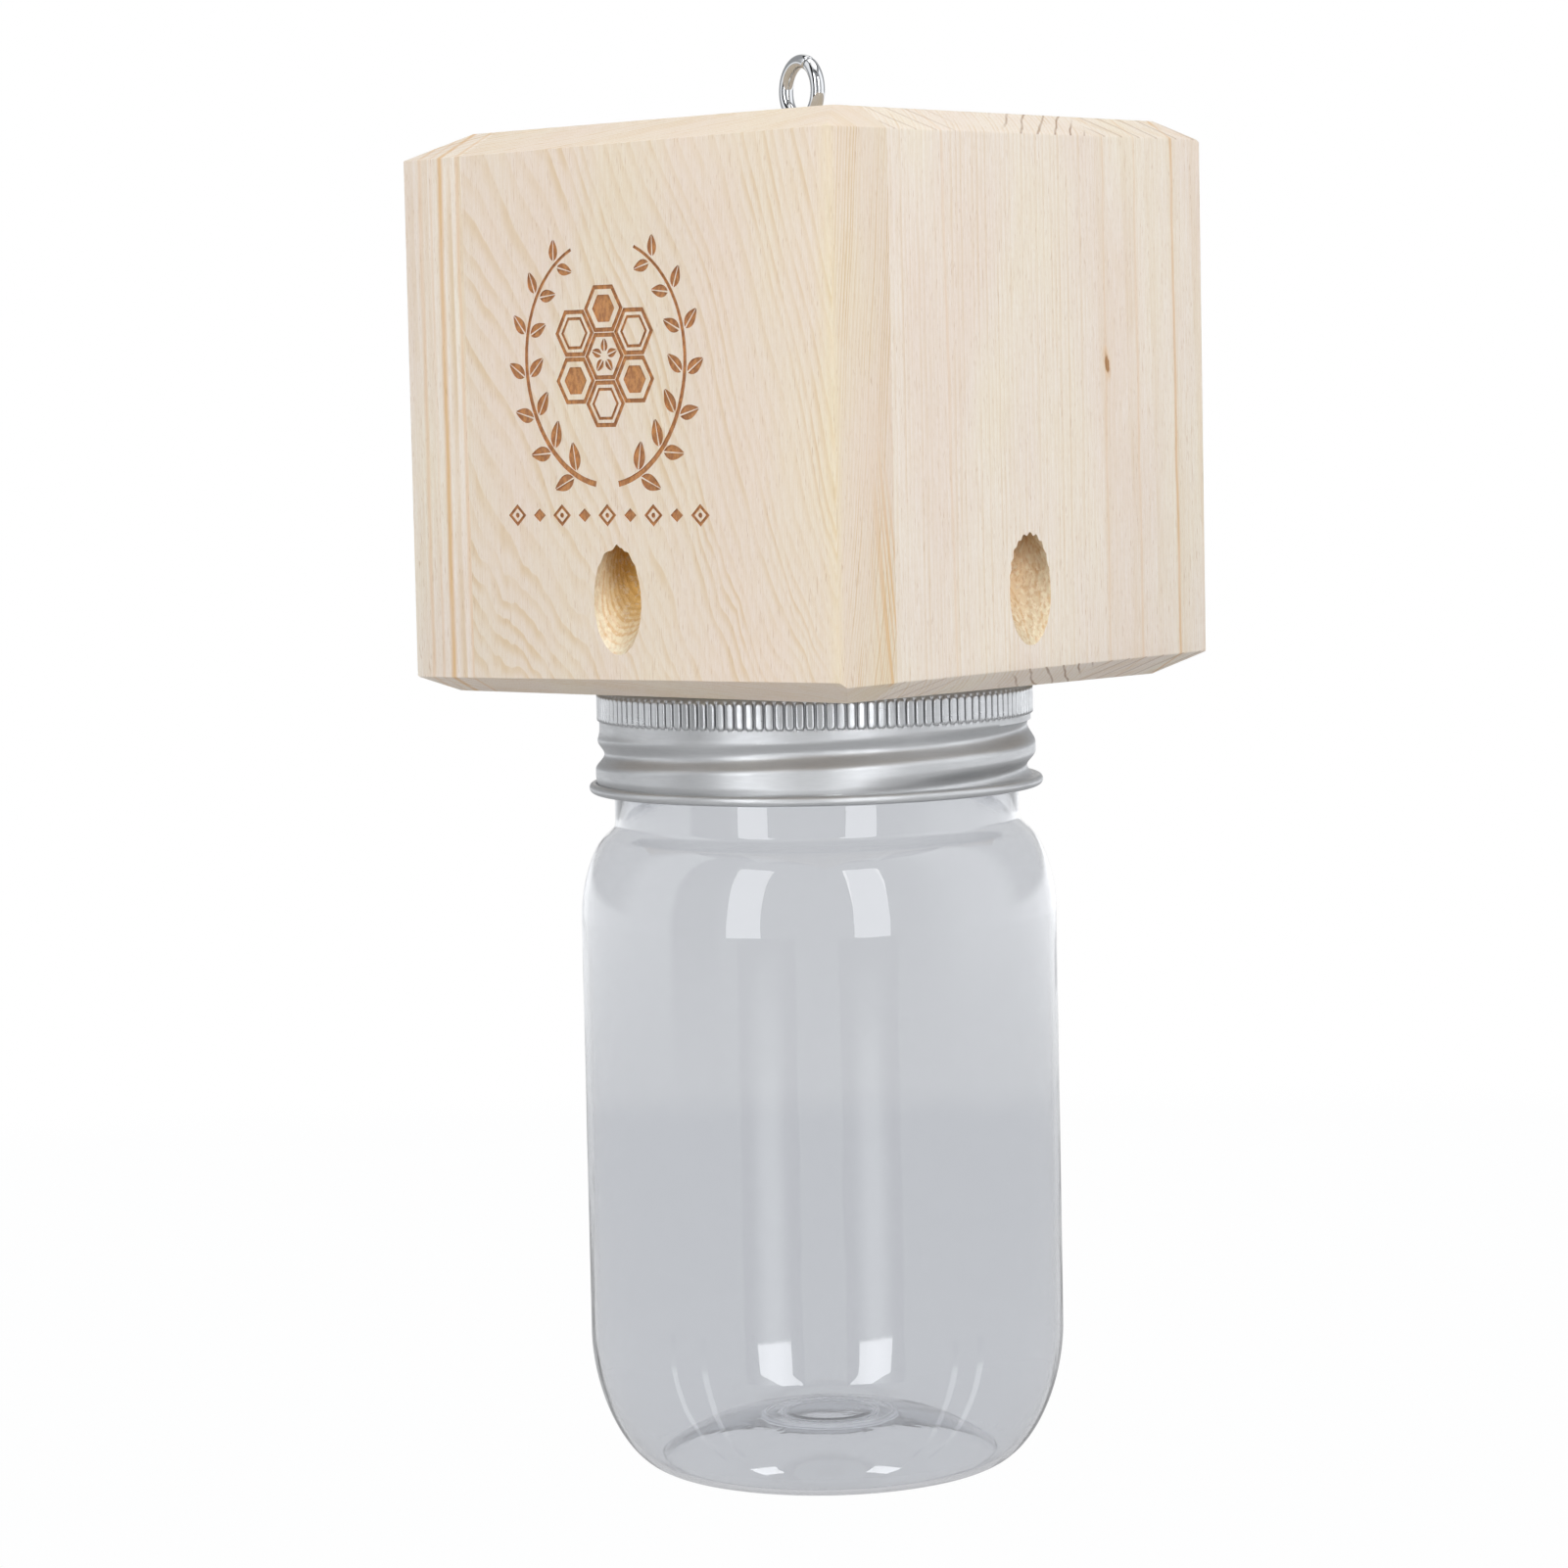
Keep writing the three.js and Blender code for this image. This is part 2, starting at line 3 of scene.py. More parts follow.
import bmesh
import bpy
import numpy as np
from mathutils import Matrix, Vector, noise


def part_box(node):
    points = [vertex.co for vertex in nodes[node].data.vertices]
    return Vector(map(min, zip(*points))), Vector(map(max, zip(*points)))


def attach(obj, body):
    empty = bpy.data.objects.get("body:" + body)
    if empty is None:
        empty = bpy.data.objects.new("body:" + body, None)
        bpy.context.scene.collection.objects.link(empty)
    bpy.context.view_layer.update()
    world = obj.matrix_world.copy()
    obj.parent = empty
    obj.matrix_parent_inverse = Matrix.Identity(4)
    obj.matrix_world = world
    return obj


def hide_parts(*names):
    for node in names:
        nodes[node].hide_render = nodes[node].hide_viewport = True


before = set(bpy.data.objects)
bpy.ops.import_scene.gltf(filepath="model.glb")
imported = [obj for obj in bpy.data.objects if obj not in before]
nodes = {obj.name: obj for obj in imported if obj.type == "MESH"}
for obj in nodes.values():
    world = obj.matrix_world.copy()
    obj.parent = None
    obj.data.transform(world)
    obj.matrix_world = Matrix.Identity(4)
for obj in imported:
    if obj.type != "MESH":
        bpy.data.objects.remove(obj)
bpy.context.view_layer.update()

# Sizes are in metres and angles in degrees. Places that the solids already have are read from model.glb.
mm = 0.001
upright = (0, 0, 1)

# Camera, fitted to the photograph
image_size = 1601
focal_length_px = 4597.8
sensor_width = 36
camera_distance = 0.7592
camera_azimuth = 42.05
camera_elevation = 4.765
camera_roll = 1.227
camera_target = Vector((-0.00404, -0.00364, -0.11935))
camera_clip = (0.01, 50)

# Wood
block_low, block_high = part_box("front_board")
board_face = -block_low.y
board_inner = -block_high.y
board_glue_end = -block_low.x
block_top = block_high.z
block_bottom = block_low.z
block_middle = -0.05632
seam_gap = 0.00001
weld_distance = 0.00002
glue_end_reach = 0.0002
edge_round = 0.00045
edge_angle = 12
edge_profile = 0.55
wood_smooth = 28
cutter_over = 0.001
drop_hole_radius = 0.0127
drop_hole_columns = 128
eye_hole_radius = 0.0016
eye_hole_depth = 0.0135
eye_hole_columns = 48
screw_hole_depth = 0.012
screw_hole_gap = 0.00012
screw_hole_columns = 32
wood_relief = {"sawn": 0.00004, "drilled": 0.00009, "burnt": 0.00008}

# Entry holes: the drill marks by how close they lie round the hole, how far apart they lie along it, and
# what is added to the board's seed
entry_radius = 0.00525
entry_rise = 52
entry_height = 0.0156
entry_start = -0.0125
entry_end = 0.034
entry_rings = 190
entry_columns = 112
lip_depth = 0.0016
lip_edge = 0.0001
drill_marks = ((2.2, 0.0011, 0), (9, 0.0032, 5))
drill_mark_height = 0.00005

# Burnt ornament, in millimetres from the middle of the front face, but for its depth
motif_depth = 0.00028
motif_middle = (-1.6, 9)
cell_radius = 4.3
cell_spread = 1.02
cell_line = 0.78
cell_inner_line = (1.35, 1.9)
cell_fill_radius = 2.5
cell_turn = 30
petal_count = 5
petal_root = 0.75
petal_size = (2.05, 1.15)
sprig_steps = 30
sprig_angles = (-82, 68)
sprig_reach = (16.6, 1.5, 0.2)
sprig_height = 19.6
sprig_drop = 1
sprig_width = (0.95, 0.45)
leaf_lean = 52
leaf_gap = 0.85
leaf_size = (4.7, 2.3)
leaf_taper = (0.05, 0.025)
leaf_steps = 10
leaf_swell = (0.8, 0.9)
leaf_rib = (0.16, 0.14)
leaf_rib_taper = 0.6
first_leaf = 3
leaf_every = 4
rule_height = -16.4
rule_step = 5.1
rule_shift = 0.2
rule_diamonds = ((2, 1.8), (1.25, 1.1), (1.35, 1.1))
rule_dot_radius = 0.42
rule_dot_sides = 10
rule_reach = 4

# Eye
eye_wire = 0.0024
eye_ring_radius = 0.00485
eye_turn = -15.5
eye_seam = 0.00022
eye_seam_angle = 28
eye_centre = -(eye_ring_radius - eye_wire / 2)
eye_end_round = 0.0003
eye_end_steps = 5
eye_steps = 220
eye_sides = 40
shank_core_radius = eye_wire / 2 - 0.00025
shank_thread_height = 0.0004
shank_thread_pitch = 0.0014
shank_thread_half = 0.32
shank_tip = 0.0026
shank_first = 0.0002
shank_fade = (0.0045, 0.003)
shank_neck_swell = 0.00025
shank_most_radius = 0.00144
shank_rows = 120
metal_smooth = 40

# Lid disc, seal and screws
disc_low, disc_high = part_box("lid_disc")
seal_low, seal_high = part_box("lid_seal")
sheet = 0.0005
disc_hole_radius = 0.013
panel_radius = 0.0295
panel_bead = (0.0062, 0.0052, 0.0042)
panel_bead_height = 0.0002
seal_inner_radius = 0.0312
seal_rounds = (0.00035, 0.0001, 0.0001, 0.00035)
disc_rounds = (0.0001, 0.0004, 0.0004, 0.0004, 0.0003, 0.0006, 0.00012, 0.00012, 0.0003, 0.0006, 0.0001)
disc_columns = 192
screw_count = 4
screw_first_angle = 45
screw_circle_radius = 0.021
screw_head_radius = 0.0032
screw_head_height = 0.0019
screw_radius = 0.0014
screw_slot_width = 0.0009
screw_slot_depth = 0.0008
screw_tip = 0.0025
screw_columns = 48
screw_crown_shares = (0.62, 0.55)
screw_rounds = (0, 0.0009, 0.0007, 0.0001, 0.0001, 0.0002, 0)
seal_relief = 0.00003
disc_relief = 0.00002
screw_relief = 0.00003
lid_smooth = 35

# The first screw's slot and the step to the next, in radians
screw_slot_turn = 0.4
screw_slot_step = 1.1

# Band
band_low, band_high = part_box("lid_band")
band_sheet = 0.00045
band_flange_radius = 0.0302
band_lip = 0.0001
grip_radius = 0.0363
grip_height = 0.0062
rib_count = 138
rib_height = 0.00045
rib_half_width = 0.00064
rib_foot = 0.0009
rib_end = 0.0006
rib_edge = 0.0001
rib_rows = 22
rib_shares = (-0.5, -0.465, -0.44, -0.41, -0.38, -0.35, -0.31, -0.16,
              0, 0.16, 0.31, 0.35, 0.38, 0.41, 0.44, 0.465)
valley_depth = 0.00005
valley_edges = (0.00078, 0.0007)
shoulder_round = 0.0008
shoulder_steps = 6
shoulder_inner_share = 0.3
grip_foot_rows = 4
wall_radius = 0.03705
wall_step = 0.0005
wall_flare_height = 0.0036
wall_count = 38
groove_depth = 0.0015
groove_width = 0.0052
curl_radius = 0.00085
curl_reach = 0.0382
curl_start = -100
curl_steps = 16
fold_angle = 126
fold_height = 0.0012
band_relief = 0.00001
band_smooth = 50

# Threads of the band and the jar: each from one angle to another, with the angle that it fades over
thread_pitch = 0.00635
thread_below_wood = 0.0113
thread_angle = 222
groove_run = (-50, 425, 50)
jar_thread_run = (-15, 405, 25)

# Jar
jar_low, jar_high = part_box("jar")
jar_radius = 0.0401
jar_wall = 0.001
jar_columns = 224
neck_root_radius = 0.0337
neck_bead_radius = 0.034
neck_bead_height = 0.0072
neck_bead_step = 0.0006
neck_bead_edge = (0.0004, 0.0001)
neck_fillet = 0.0011
neck_fillet_rise_share = 0.6
neck_fillet_steps = 12
neck_height = 0.0217
lip_round = 0.0005
lip_steps = 6
lip_inner_round = 0.0003
lip_inner_steps = 4
inner_step_top = 0.0006
inner_step_bottom = 0.0014
inner_step_rows = 12
neck_inner_rise = 0.001
neck_inner_rows = 5
thread_crest_radius = 0.0355
thread_base_width = 0.0034
thread_crest_share = 0.45
thread_rows = 56
shoulder_height = 0.0148
shoulder_corner_steps = 30
body_rows = 12
base_corner_height = 0.0226
base_corner_width = 0.0118
base_corner_steps = 34
base_dome_height = 0.0069
gate_radius = 0.0112
gate_step = 0.0005
gate_rim_shares = ((1, 0), (0.6, 0.25), (0.2, 0.8))
gate_ring_radius = 0.0078
gate_ring_half = 0.0006
gate_ring_height = 0.0003
gate_steps = 8
dome_steps = 22
corner_fullness = 1.8
dome_fullness = 2.2
jar_relief = 0.0004
jar_smooth = 60

# Stage: azimuths are counted from the camera's own
floor_height = -0.6
floor_radius = 2.75
floor_edge = 0.12
floor_sides = 96
floor_shade_radii = (0.4, 1.3)
ambient_rise = (-0.35, 0.15)
ambient_strengths = (0.26, 0.47)
key_azimuths = (-36.5, 24.5)
key_powers = (5.0, 7.9)
key_rise = (-5.7, 42)
key_width = 0.37
key_distance = 1.25
key_glow = 4.6
overhead_power = 4.2
overhead_rise = 86
overhead_size = 1.3
wall_half = 168
wall_rise = (-24, 74)
wall_distance = 2.3
card_distance = 1.2
low_azimuths = (-25.5, 22.5)
low_half = 14
low_rise = (-25, -5.8)
strip_azimuths = (-76, -58, 60, 74)
strip_half = 1.6
strip_rise = (-64, -25)
strip_distance = 0.35
spot_azimuths = (-57, 52)
spot_half = 13
spot_rise = (-75.5, -70.5)
spot_glow = 7
panel_columns = 56
panel_rows = 16
floor_tone = 0.55


def srgb(red, green, blue):
    def linear(value):
        share = value / 255
        return share / 12.92 if share <= 0.04045 else ((share + 0.055) / 1.055) ** 2.4
    return (linear(red), linear(green), linear(blue), 1)


early_wood = srgb(232, 221, 207)
early_side_wood = srgb(242, 235, 226)
late_wood = srgb(217, 190, 147)
resin_wood = srgb(223, 182, 126)
yellow_wood = srgb(237, 224, 190)
pink_wood = srgb(234, 217, 206)
knot_wood = srgb(158, 108, 62)
end_grain_wood = srgb(252, 244, 235)
end_line_wood = srgb(150, 112, 80)
fibre_wood = srgb(196, 170, 136)
canal_wood = srgb(188, 150, 104)
drilled_late_wood = srgb(214, 160, 90)
torn_wood = srgb(206, 158, 100)
chattered_wood = srgb(252, 242, 220)
char_wood = (srgb(198, 134, 68), srgb(160, 98, 40), srgb(122, 70, 26))
# Painted shade for the valleys between the band's ribs
valley_shade = srgb(80, 80, 82)
seal_tones = (srgb(150, 62, 44), srgb(176, 84, 60))
floor_tones = (srgb(202, 202, 205), srgb(208, 208, 210))
white = (1, 1, 1, 1)

# Wood in the drilled holes: near the face, deep inside, where its orange is painted warm light bounced round
# the hole, and how ragged it is
drilled_right = (srgb(230, 216, 184), srgb(246, 214, 168), 0.5)
drilled_others = (srgb(228, 217, 190), srgb(249, 198, 90), 0.35)

# Each board's own directions: through its thickness outward, across its width, and along its grain
board_ways = {
    "front_board": ((0, -1, 0), (1, 0, 0), upright),
    "right_board": ((1, 0, 0), (0, 1, 0), upright),
    "back_board": ((0, 1, 0), (-1, 0, 0), upright),
    "left_board": ((-1, 0, 0), (0, -1, 0), upright),
    "top_plate": ((0, 0, 1), (0, 1, 0), (1, 0, 0)),
    "bottom_plate": ((0, 0, -1), (0, 1, 0), (1, 0, 0)),
}

# Growth rings as a sum in millimetres of the three directions: how much of the thickness, of the width
# and of the length there is in it, and what bends it
board_rings = {
    "front_board": dict(through=1, across=0.225, across_bend=0.0014, length=0.105, low_bend=0.0016,
                        spacing=0.68, wave=0.7, low_wave=4, seed=3, late=0.66),
    "right_board": dict(through_bend=0.06, across=1, length=0.004,
                        spacing=1.04, wave=0.28, seed=11, late=0.4),
    "back_board": dict(through=0.8, across=0.32, across_bend=0.001, length=0.03,
                       spacing=0.9, wave=0.5, seed=23, late=0.55),
    "left_board": dict(through=-0.45, across=0.9, across_bend=0.002, length=0.006,
                       spacing=1.35, wave=0.22, seed=31, late=0.75),
    "top_plate": dict(through=0.7, across=0.6, across_bend=0.004, length=0.02,
                      spacing=1.6, wave=0.5, seed=43, late=0.6),
    "bottom_plate": dict(through=0.6, across=0.7, across_bend=0.003, length=0.02,
                         spacing=1.8, wave=0.5, seed=57, late=0.6),
}

# The flatter rings in the far part of the right board, and lines in its end grain, by where across the
# board they start, are full, and end
flat_rings = dict(through=0.95, across=-0.56, length=-0.012, spacing=3.6, wave=0.5, seed=12, late=0.5)
end_rings = (
    dict(through=0.73, across=-0.69, bend=0, wave=2, spacing=3.3, late=0.3, span=(-40, -32, -20, -12)),
    dict(through=0.81, across=0.433, bend=0.0064, wave=2.5, spacing=2.2, late=0.75, span=(-5, 1, 15, 19)),
    dict(through=0.73, across=-0.69, bend=0, wave=2, spacing=3.3, late=0.4, span=(17, 21, 60, 70)),
)

# Bold resin-coloured lines where the photograph shows them: through (0) or across (1) the board, where
# they start, their slope, width and strength
resin_lines = {
    "right_board": ((1, 39.4, -0.012, 0.55, 0.75), (1, 29.2, -0.01, 0.5, 0.32),
                    (1, 20.6, -0.004, 0.4, 0.25), (1, -19.5, -0.02, 0.5, 0.3)),
    "left_board": ((0, 38.3, 0.004, 0.95, 0.85), (0, 34, 0.012, 0.7, 0.5),
                   (0, 43.1, 0.002, 0.8, 0.5), (0, 40.6, 0.003, 0.5, 0.35)),
}

# A pin knot in the right board: where across and along it lies, and half its width and length
knot = (20.9, 6.3, 0.62, 1.9)

# Torn upper lips of the holes: where round the hole, how wide and how high each splinter is, and how far
# the whole lip has broken out
lips = {
    "front_board": (((0.02, 0.15, 0.0005), (-0.5, 0.2, 0.00022), (0.5, 0.22, 0.0003), (0.85, 0.14, 0.00022),
                     (-0.9, 0.14, 0.00018), (0.22, 0.16, 0.0002)), 0),
    "right_board": (((-0.26, 0.11, 0.0006), (0.02, 0.12, 0.00065), (0.3, 0.11, 0.0006), (0.56, 0.1, 0.0004),
                     (-0.52, 0.1, 0.00045), (-0.76, 0.11, 0.00055), (-1.0, 0.11, 0.00045),
                     (-1.25, 0.1, 0.0003), (0.85, 0.1, 0.00025), (1.15, 0.1, 0.0002)), 0.0004),
    "back_board": (((-0.2, 0.1, 0.0006), (0.3, 0.12, 0.0005), (-0.7, 0.12, 0.0003)), 0.0002),
    "left_board": (((0.1, 0.1, 0.0007), (-0.4, 0.1, 0.0004), (0.7, 0.12, 0.0004)), 0.0002),
}

# A broken lip fades out between these angles from its middle, in radians
broken_lip = (-1.25, -0.45)


def smooth_step(value, low, high):
    share = np.clip((value - low) / (high - low), 0, 1)
    return share * share * (3 - 2 * share)


def direction(azimuth, elevation):
    """The way out from the trap at an azimuth from its front and an elevation."""
    turn = math.radians(azimuth)
    rise = math.radians(elevation)
    return Vector((math.sin(turn) * math.cos(rise), -math.cos(turn) * math.cos(rise), math.sin(rise)))


def link(name, data):
    obj = bpy.data.objects.new(name, data)
    bpy.context.scene.collection.objects.link(obj)
    return obj


def place_camera():
    back = direction(camera_azimuth, camera_elevation)
    data = bpy.data.cameras.new("camera")
    data.sensor_width = sensor_width
    data.lens = focal_length_px / image_size * sensor_width
    data.clip_start, data.clip_end = camera_clip
    camera = link("camera", data)
    turn = back.to_track_quat("Z", "Y").to_matrix().to_4x4()
    roll = Matrix.Rotation(-math.radians(camera_roll), 4, "Z")
    camera.matrix_world = Matrix.Translation(camera_target + back * camera_distance) @ turn @ roll
    bpy.context.scene.camera = camera


class Value:
    """What a shader node gives out, for use with the usual signs."""

    def __init__(self, graph, socket):
        self.graph = graph
        self.socket = socket

    def __add__(self, other):
        return self.graph.math("ADD", self, other)

    def __sub__(self, other):
        return self.graph.math("SUBTRACT", self, other)

    def __mul__(self, other):
        return self.graph.math("MULTIPLY", self, other)

    def __truediv__(self, other):
        return self.graph.math("DIVIDE", self, other)

    def __abs__(self):
        return self.graph.math("ABSOLUTE", self)

    __radd__ = __add__


class Graph:
    """The shader nodes of a material or a world, and short calls that add to them."""

    def __init__(self, owner, kind="Material"):
        owner.use_nodes = True
        self.owner = owner
        self.tree = owner.node_tree
        self.tree.nodes.clear()
        self.output = self.tree.nodes.new("ShaderNodeOutput" + kind)

    def finish(self, shader):
        self.tree.links.new(shader.socket, self.output.inputs["Surface"])
        return self.owner

    def add(self, kind, inputs, output=0, **settings):
        node = self.tree.nodes.new("ShaderNode" + kind)
        for key, value in settings.items():
            setattr(node, key, value)
        for key, value in inputs.items():
            if isinstance(value, Value):
                self.tree.links.new(value.socket, node.inputs[key])
            else:
                node.inputs[key].default_value = value
        return Value(self, node.outputs[output])

    def math(self, operation, first, second=0.0):
        return self.add("Math", {0: first, 1: second}, operation=operation)

    def scaled(self, vector, scale):
        return self.add("VectorMath", {0: vector, 1: scale}, operation="MULTIPLY")

    def place(self):
        """The place on the part, in millimetres."""
        return self.scaled(self.add("TexCoord", {}, "Object"), [1 / mm] * 3)

    def along(self, vector, way):
        return self.add("VectorMath", {0: vector, 1: way}, "Value", operation="DOT_PRODUCT")

    def from_axis(self, place):
        return self.add("VectorMath", {0: self.scaled(place, (1, 1, 0))}, "Value", operation="LENGTH")

    def vector(self, x, y, z):
        return self.add("CombineXYZ", {0: x, 1: y, 2: z})

    def noise(self, vector, scale, detail=2.0, roughness=0.5):
        inputs = {"Vector": self.scaled(vector, scale), "Scale": 1, "Detail": detail, "Roughness": roughness}
        return self.add("TexNoise", inputs, "Fac")

    def spread(self, value, low, high, to_low=0.0, to_high=1.0, kind="SMOOTHSTEP"):
        """A smooth step from one range of values to another."""
        inputs = {"Value": value, "From Min": low, "From Max": high, "To Min": to_low, "To Max": to_high}
        return self.add("MapRange", inputs, "Result", interpolation_type=kind)

    def mix(self, factor, first, second):
        return self.add("Mix", {0: factor, 6: first, 7: second}, 2, data_type="RGBA")

    def tint(self, colour, tone, value, low, high, most=1):
        """Brings a tone into a colour as a value goes from low to high."""
        return self.mix(self.spread(value, low, high, 0, most), colour, tone)

    def bump(self, height, distance, strength=1.0):
        return self.add("Bump", {"Height": height, "Distance": distance, "Strength": strength})

    def principled(self, **inputs):
        return self.add("BsdfPrincipled", {key.replace("_", " "): value for key, value in inputs.items()})

    def rays(self):
        """Whether a ray is the camera's own, whether it has come through something, and whether it is
        either of those or a reflected one."""
        outputs = self.tree.nodes.new("ShaderNodeLightPath").outputs
        camera, glossy, through = (Value(self, outputs[name]) for name in (
            "Is Camera Ray", "Is Glossy Ray", "Is Transmission Ray"))
        return camera, through, self.math("MAXIMUM", self.math("MAXIMUM", camera, glossy), through)


def new_material(name):
    return Graph(bpy.data.materials.new(name))


def ring_shade(s, through, across, length, ring):
    """Late wood, from 0 to 1, at a place of a board."""
    seed = ring["seed"]
    slow = s.noise(s.vector(through + seed * 7.3, across, length), (0.03, 0.032, 0.014))
    quick = s.noise(s.vector(across, through, length + seed * 3.1), (0.16, 0.1, 0.055))
    low = s.math("MINIMUM", length + 14, 0)
    wavy = s.spread(length, -2, -34, 1, ring.get("low_wave", 1))
    depth = through - (board_face / mm - 7)
    total = (through * ring.get("through", 0)
             + s.math("MAXIMUM", depth, 0) * depth * ring.get("through_bend", 0)
             + across * ring["across"] + across * across * ring.get("across_bend", 0)
             + length * ring["length"] - low * low * ring.get("low_bend", 0)
             + (slow - 0.5) * (4 * ring["wave"]) + (quick - 0.5) * wavy * (0.6 * ring["wave"])
             + (400 + seed))
    count = total / ring["spacing"]
    count = count + s.noise(s.vector(count * 0.21, seed, 0), (1, 1, 1), 1) * 2.2
    share = s.math("FRACT", count)
    chance = s.add("TexWhiteNoise", {"W": s.math("FLOOR", count)}, "Value", noise_dimensions="1D")
    line = s.spread(share, 0.3, 0.86) * s.spread(share, 0.92, 1, 1, 0) * s.spread(chance, 0.15, 1, 0.35, 1)
    patchy = s.noise(s.vector(across, through, length), (0.22, 0.3, 0.035), 3, 0.6)
    return line * (s.spread(patchy, 0.32, 0.62, 0.3, 1) * ring["late"])


def end_lines(s, through, across, ring, seed):
    """Thin dark lines of late wood in end grain, from 0 to 1."""
    wander, faint = (s.noise(s.vector(across, through, seed), (scale, scale, 1)) for scale in (0.09, 0.2))
    total = (through * ring["through"] + across * ring["across"] + across * across * ring["bend"]
             + wander * ring["wave"] + 400)
    line = s.spread(abs(s.math("FRACT", total / ring["spacing"]) - 0.5), 0.03, 0.1, 1, 0)
    low, full, still, high = ring["span"]
    window = s.spread(across, low, full) * s.spread(across, high, still)
    return line * window * s.spread(faint, 0.3, 0.6, 0.35, ring["late"])


def pine(node, kind="sawn"):
    """Pine of one board or plate: sawn and sanded, drilled, or burnt."""
    s = new_material(f"pine_{node}_{kind}")
    seed = board_rings[node]["seed"]
    front = node == "front_board"
    right = node == "right_board"
    place = s.place()
    through_way, across_way, length_way = board_ways[node]
    through = s.along(place, through_way)
    across = s.along(place, across_way)
    length = s.along(place, length_way) - (block_middle / mm if length_way == upright else 0)
    local = s.vector(through, across, length)
    late = ring_shade(s, through, across, length, board_rings[node])

    # Broad colour drift, then the rings, stronger in end grain and on the front board's own edge
    drift = s.noise(s.vector(across, through, length + seed), (0.05, 0.05, 0.018))
    early = early_side_wood if right or node == "left_board" else early_wood
    base = s.tint(early, pink_wood, drift, 0.35, 0.7, 0.55)
    base = s.tint(base, yellow_wood, drift, 0.55, 0.25, 0.35)
    if right:
        # Beyond this line across the board the rings lie flatter, as the end grain shows
        flat_late = ring_shade(s, through, across, length, flat_rings)
        late = late * s.spread(across, 13, 20, 1, 0.35) + flat_late * s.spread(across, 13, 20)
    normal = s.add("TexCoord", {}, "Normal")
    end_grain = s.spread(abs(s.along(normal, length_way)), 0.15, 0.5)
    late = late * (end_grain * 0.6 + 1)
    if front:
        late = late * s.spread(across, 46, 46.8, 1, 1.5)
    colour = s.mix(s.math("MINIMUM", late, 1), base, late_wood)
    colour = s.mix(end_grain * 0.18, colour, end_grain_wood)
    if right:
        end_line = sum(end_lines(s, through, across, ring, seed) for ring in end_rings)
        colour = s.mix(s.math("MINIMUM", end_line, 1) * end_grain, colour, end_line_wood)
    wander = s.noise(s.vector(seed, 0, length), (1, 1, 0.06))
    for way, start, slope, width, strength in resin_lines.get(node, ()):
        offset = (through, across)[way] - start - length * slope + wander * 0.9 - 0.45
        patchy = s.spread(s.noise(local, (0.5, 0.5, 0.04)), 0.25, 0.6, 0.45, 1)
        colour = s.mix(s.spread(abs(offset), 0.1 * width, width, strength, 0) * patchy, colour, resin_wood)
    if front:
        # The near edge, where the face and the end strip meet, is yellower
        near_edge = s.spread(across, 43, 46.8) * s.spread(through, 45, 46.8)
        colour = s.mix(near_edge * 0.4, colour, yellow_wood)
        line = s.noise(s.vector(through - length * 0.12, 0, length), (1.1, 1, 0.02), 1)
        strip = s.spread(across, 45.5, 46.6) * s.spread(through, 41, 34) * s.spread(length, 10, -30)
        colour = s.mix(strip * s.spread(line, 0.45, 0.62, 0, 0.75), colour, resin_wood)
    if right:
        knot_across, knot_along, half_width, half_length = knot
        up = length - knot_along
        side = (across - knot_across + up * 0.14) / half_width
        rise = up / half_length
        rough = s.noise(local, (1.1, 1.1, 0.8))
        away = s.math("SQRT", side * side + rise * rise) + (rough - 0.5) * 0.9
        colour = s.tint(colour, resin_wood, away, 1.9, 0.8, 0.45)
        colour = s.tint(colour, knot_wood, away, 1.05, 0.55)

    # Fibres and the short dark dashes of resin canals
    fibre = s.noise(local, (3.4, 3.4, 0.16), 3, 0.6)
    grainy = s.noise(local, (9, 9, 0.9), 2, 0.6)
    canal = s.noise(local, (5.5, 5.5, 0.42), 1)
    colour = s.tint(colour, late_wood, fibre, 0.35, 0.65, 0.2)
    colour = s.tint(colour, fibre_wood, grainy, 0.6, 0.3, 0.16)
    colour = s.tint(colour, canal_wood, canal, 0.66, 0.74, 0.4)
    height = fibre * 0.5 + grainy * 0.5 + late * 0.35
    roughness = s.spread(grainy, 0.2, 0.8, 0.56, 0.74)
    if kind == "drilled":
        chatter = s.noise(local, (1.3, 1.3, 0.9), 4, 0.6)
        torn = s.noise(local, (1.6, 1.6, 0.8), 3, 0.55)
        near, deep, ragged = drilled_right if right else drilled_others
        # Toward the inside the wood turns orange: painted warm light bounced round the hole
        colour = s.mix(0.85, colour, s.tint(near, deep, through, 46.8, 39))
        colour = s.tint(colour, drilled_late_wood, late, 0.1, 0.45, 0.4)
        colour = s.tint(colour, torn_wood, torn, 0.58, 0.34, ragged)
        colour = s.tint(colour, chattered_wood, chatter, 0.5, 0.62, ragged)
        height = height + chatter * 2 + torn
        roughness = 0.8
    if kind == "burnt":
        char = s.noise(local, (1.3, 1.3, 0.8), 3, 0.6)
        fine = s.noise(local, (6, 6, 2.5))
        pale, dark, darkest = char_wood
        burn = s.tint(s.tint(pale, dark, char, 0.35, 0.65), darkest, fine, 0.55, 0.75, 0.5)
        colour = s.mix(0.9, colour, burn)
        height = height + char * 1.5 + fine
        roughness = 0.82
    return s.finish(s.principled(Base_Color=colour, Roughness=roughness, Specular_IOR_Level=0.28,
                                 Normal=s.bump(height, wood_relief[kind])))


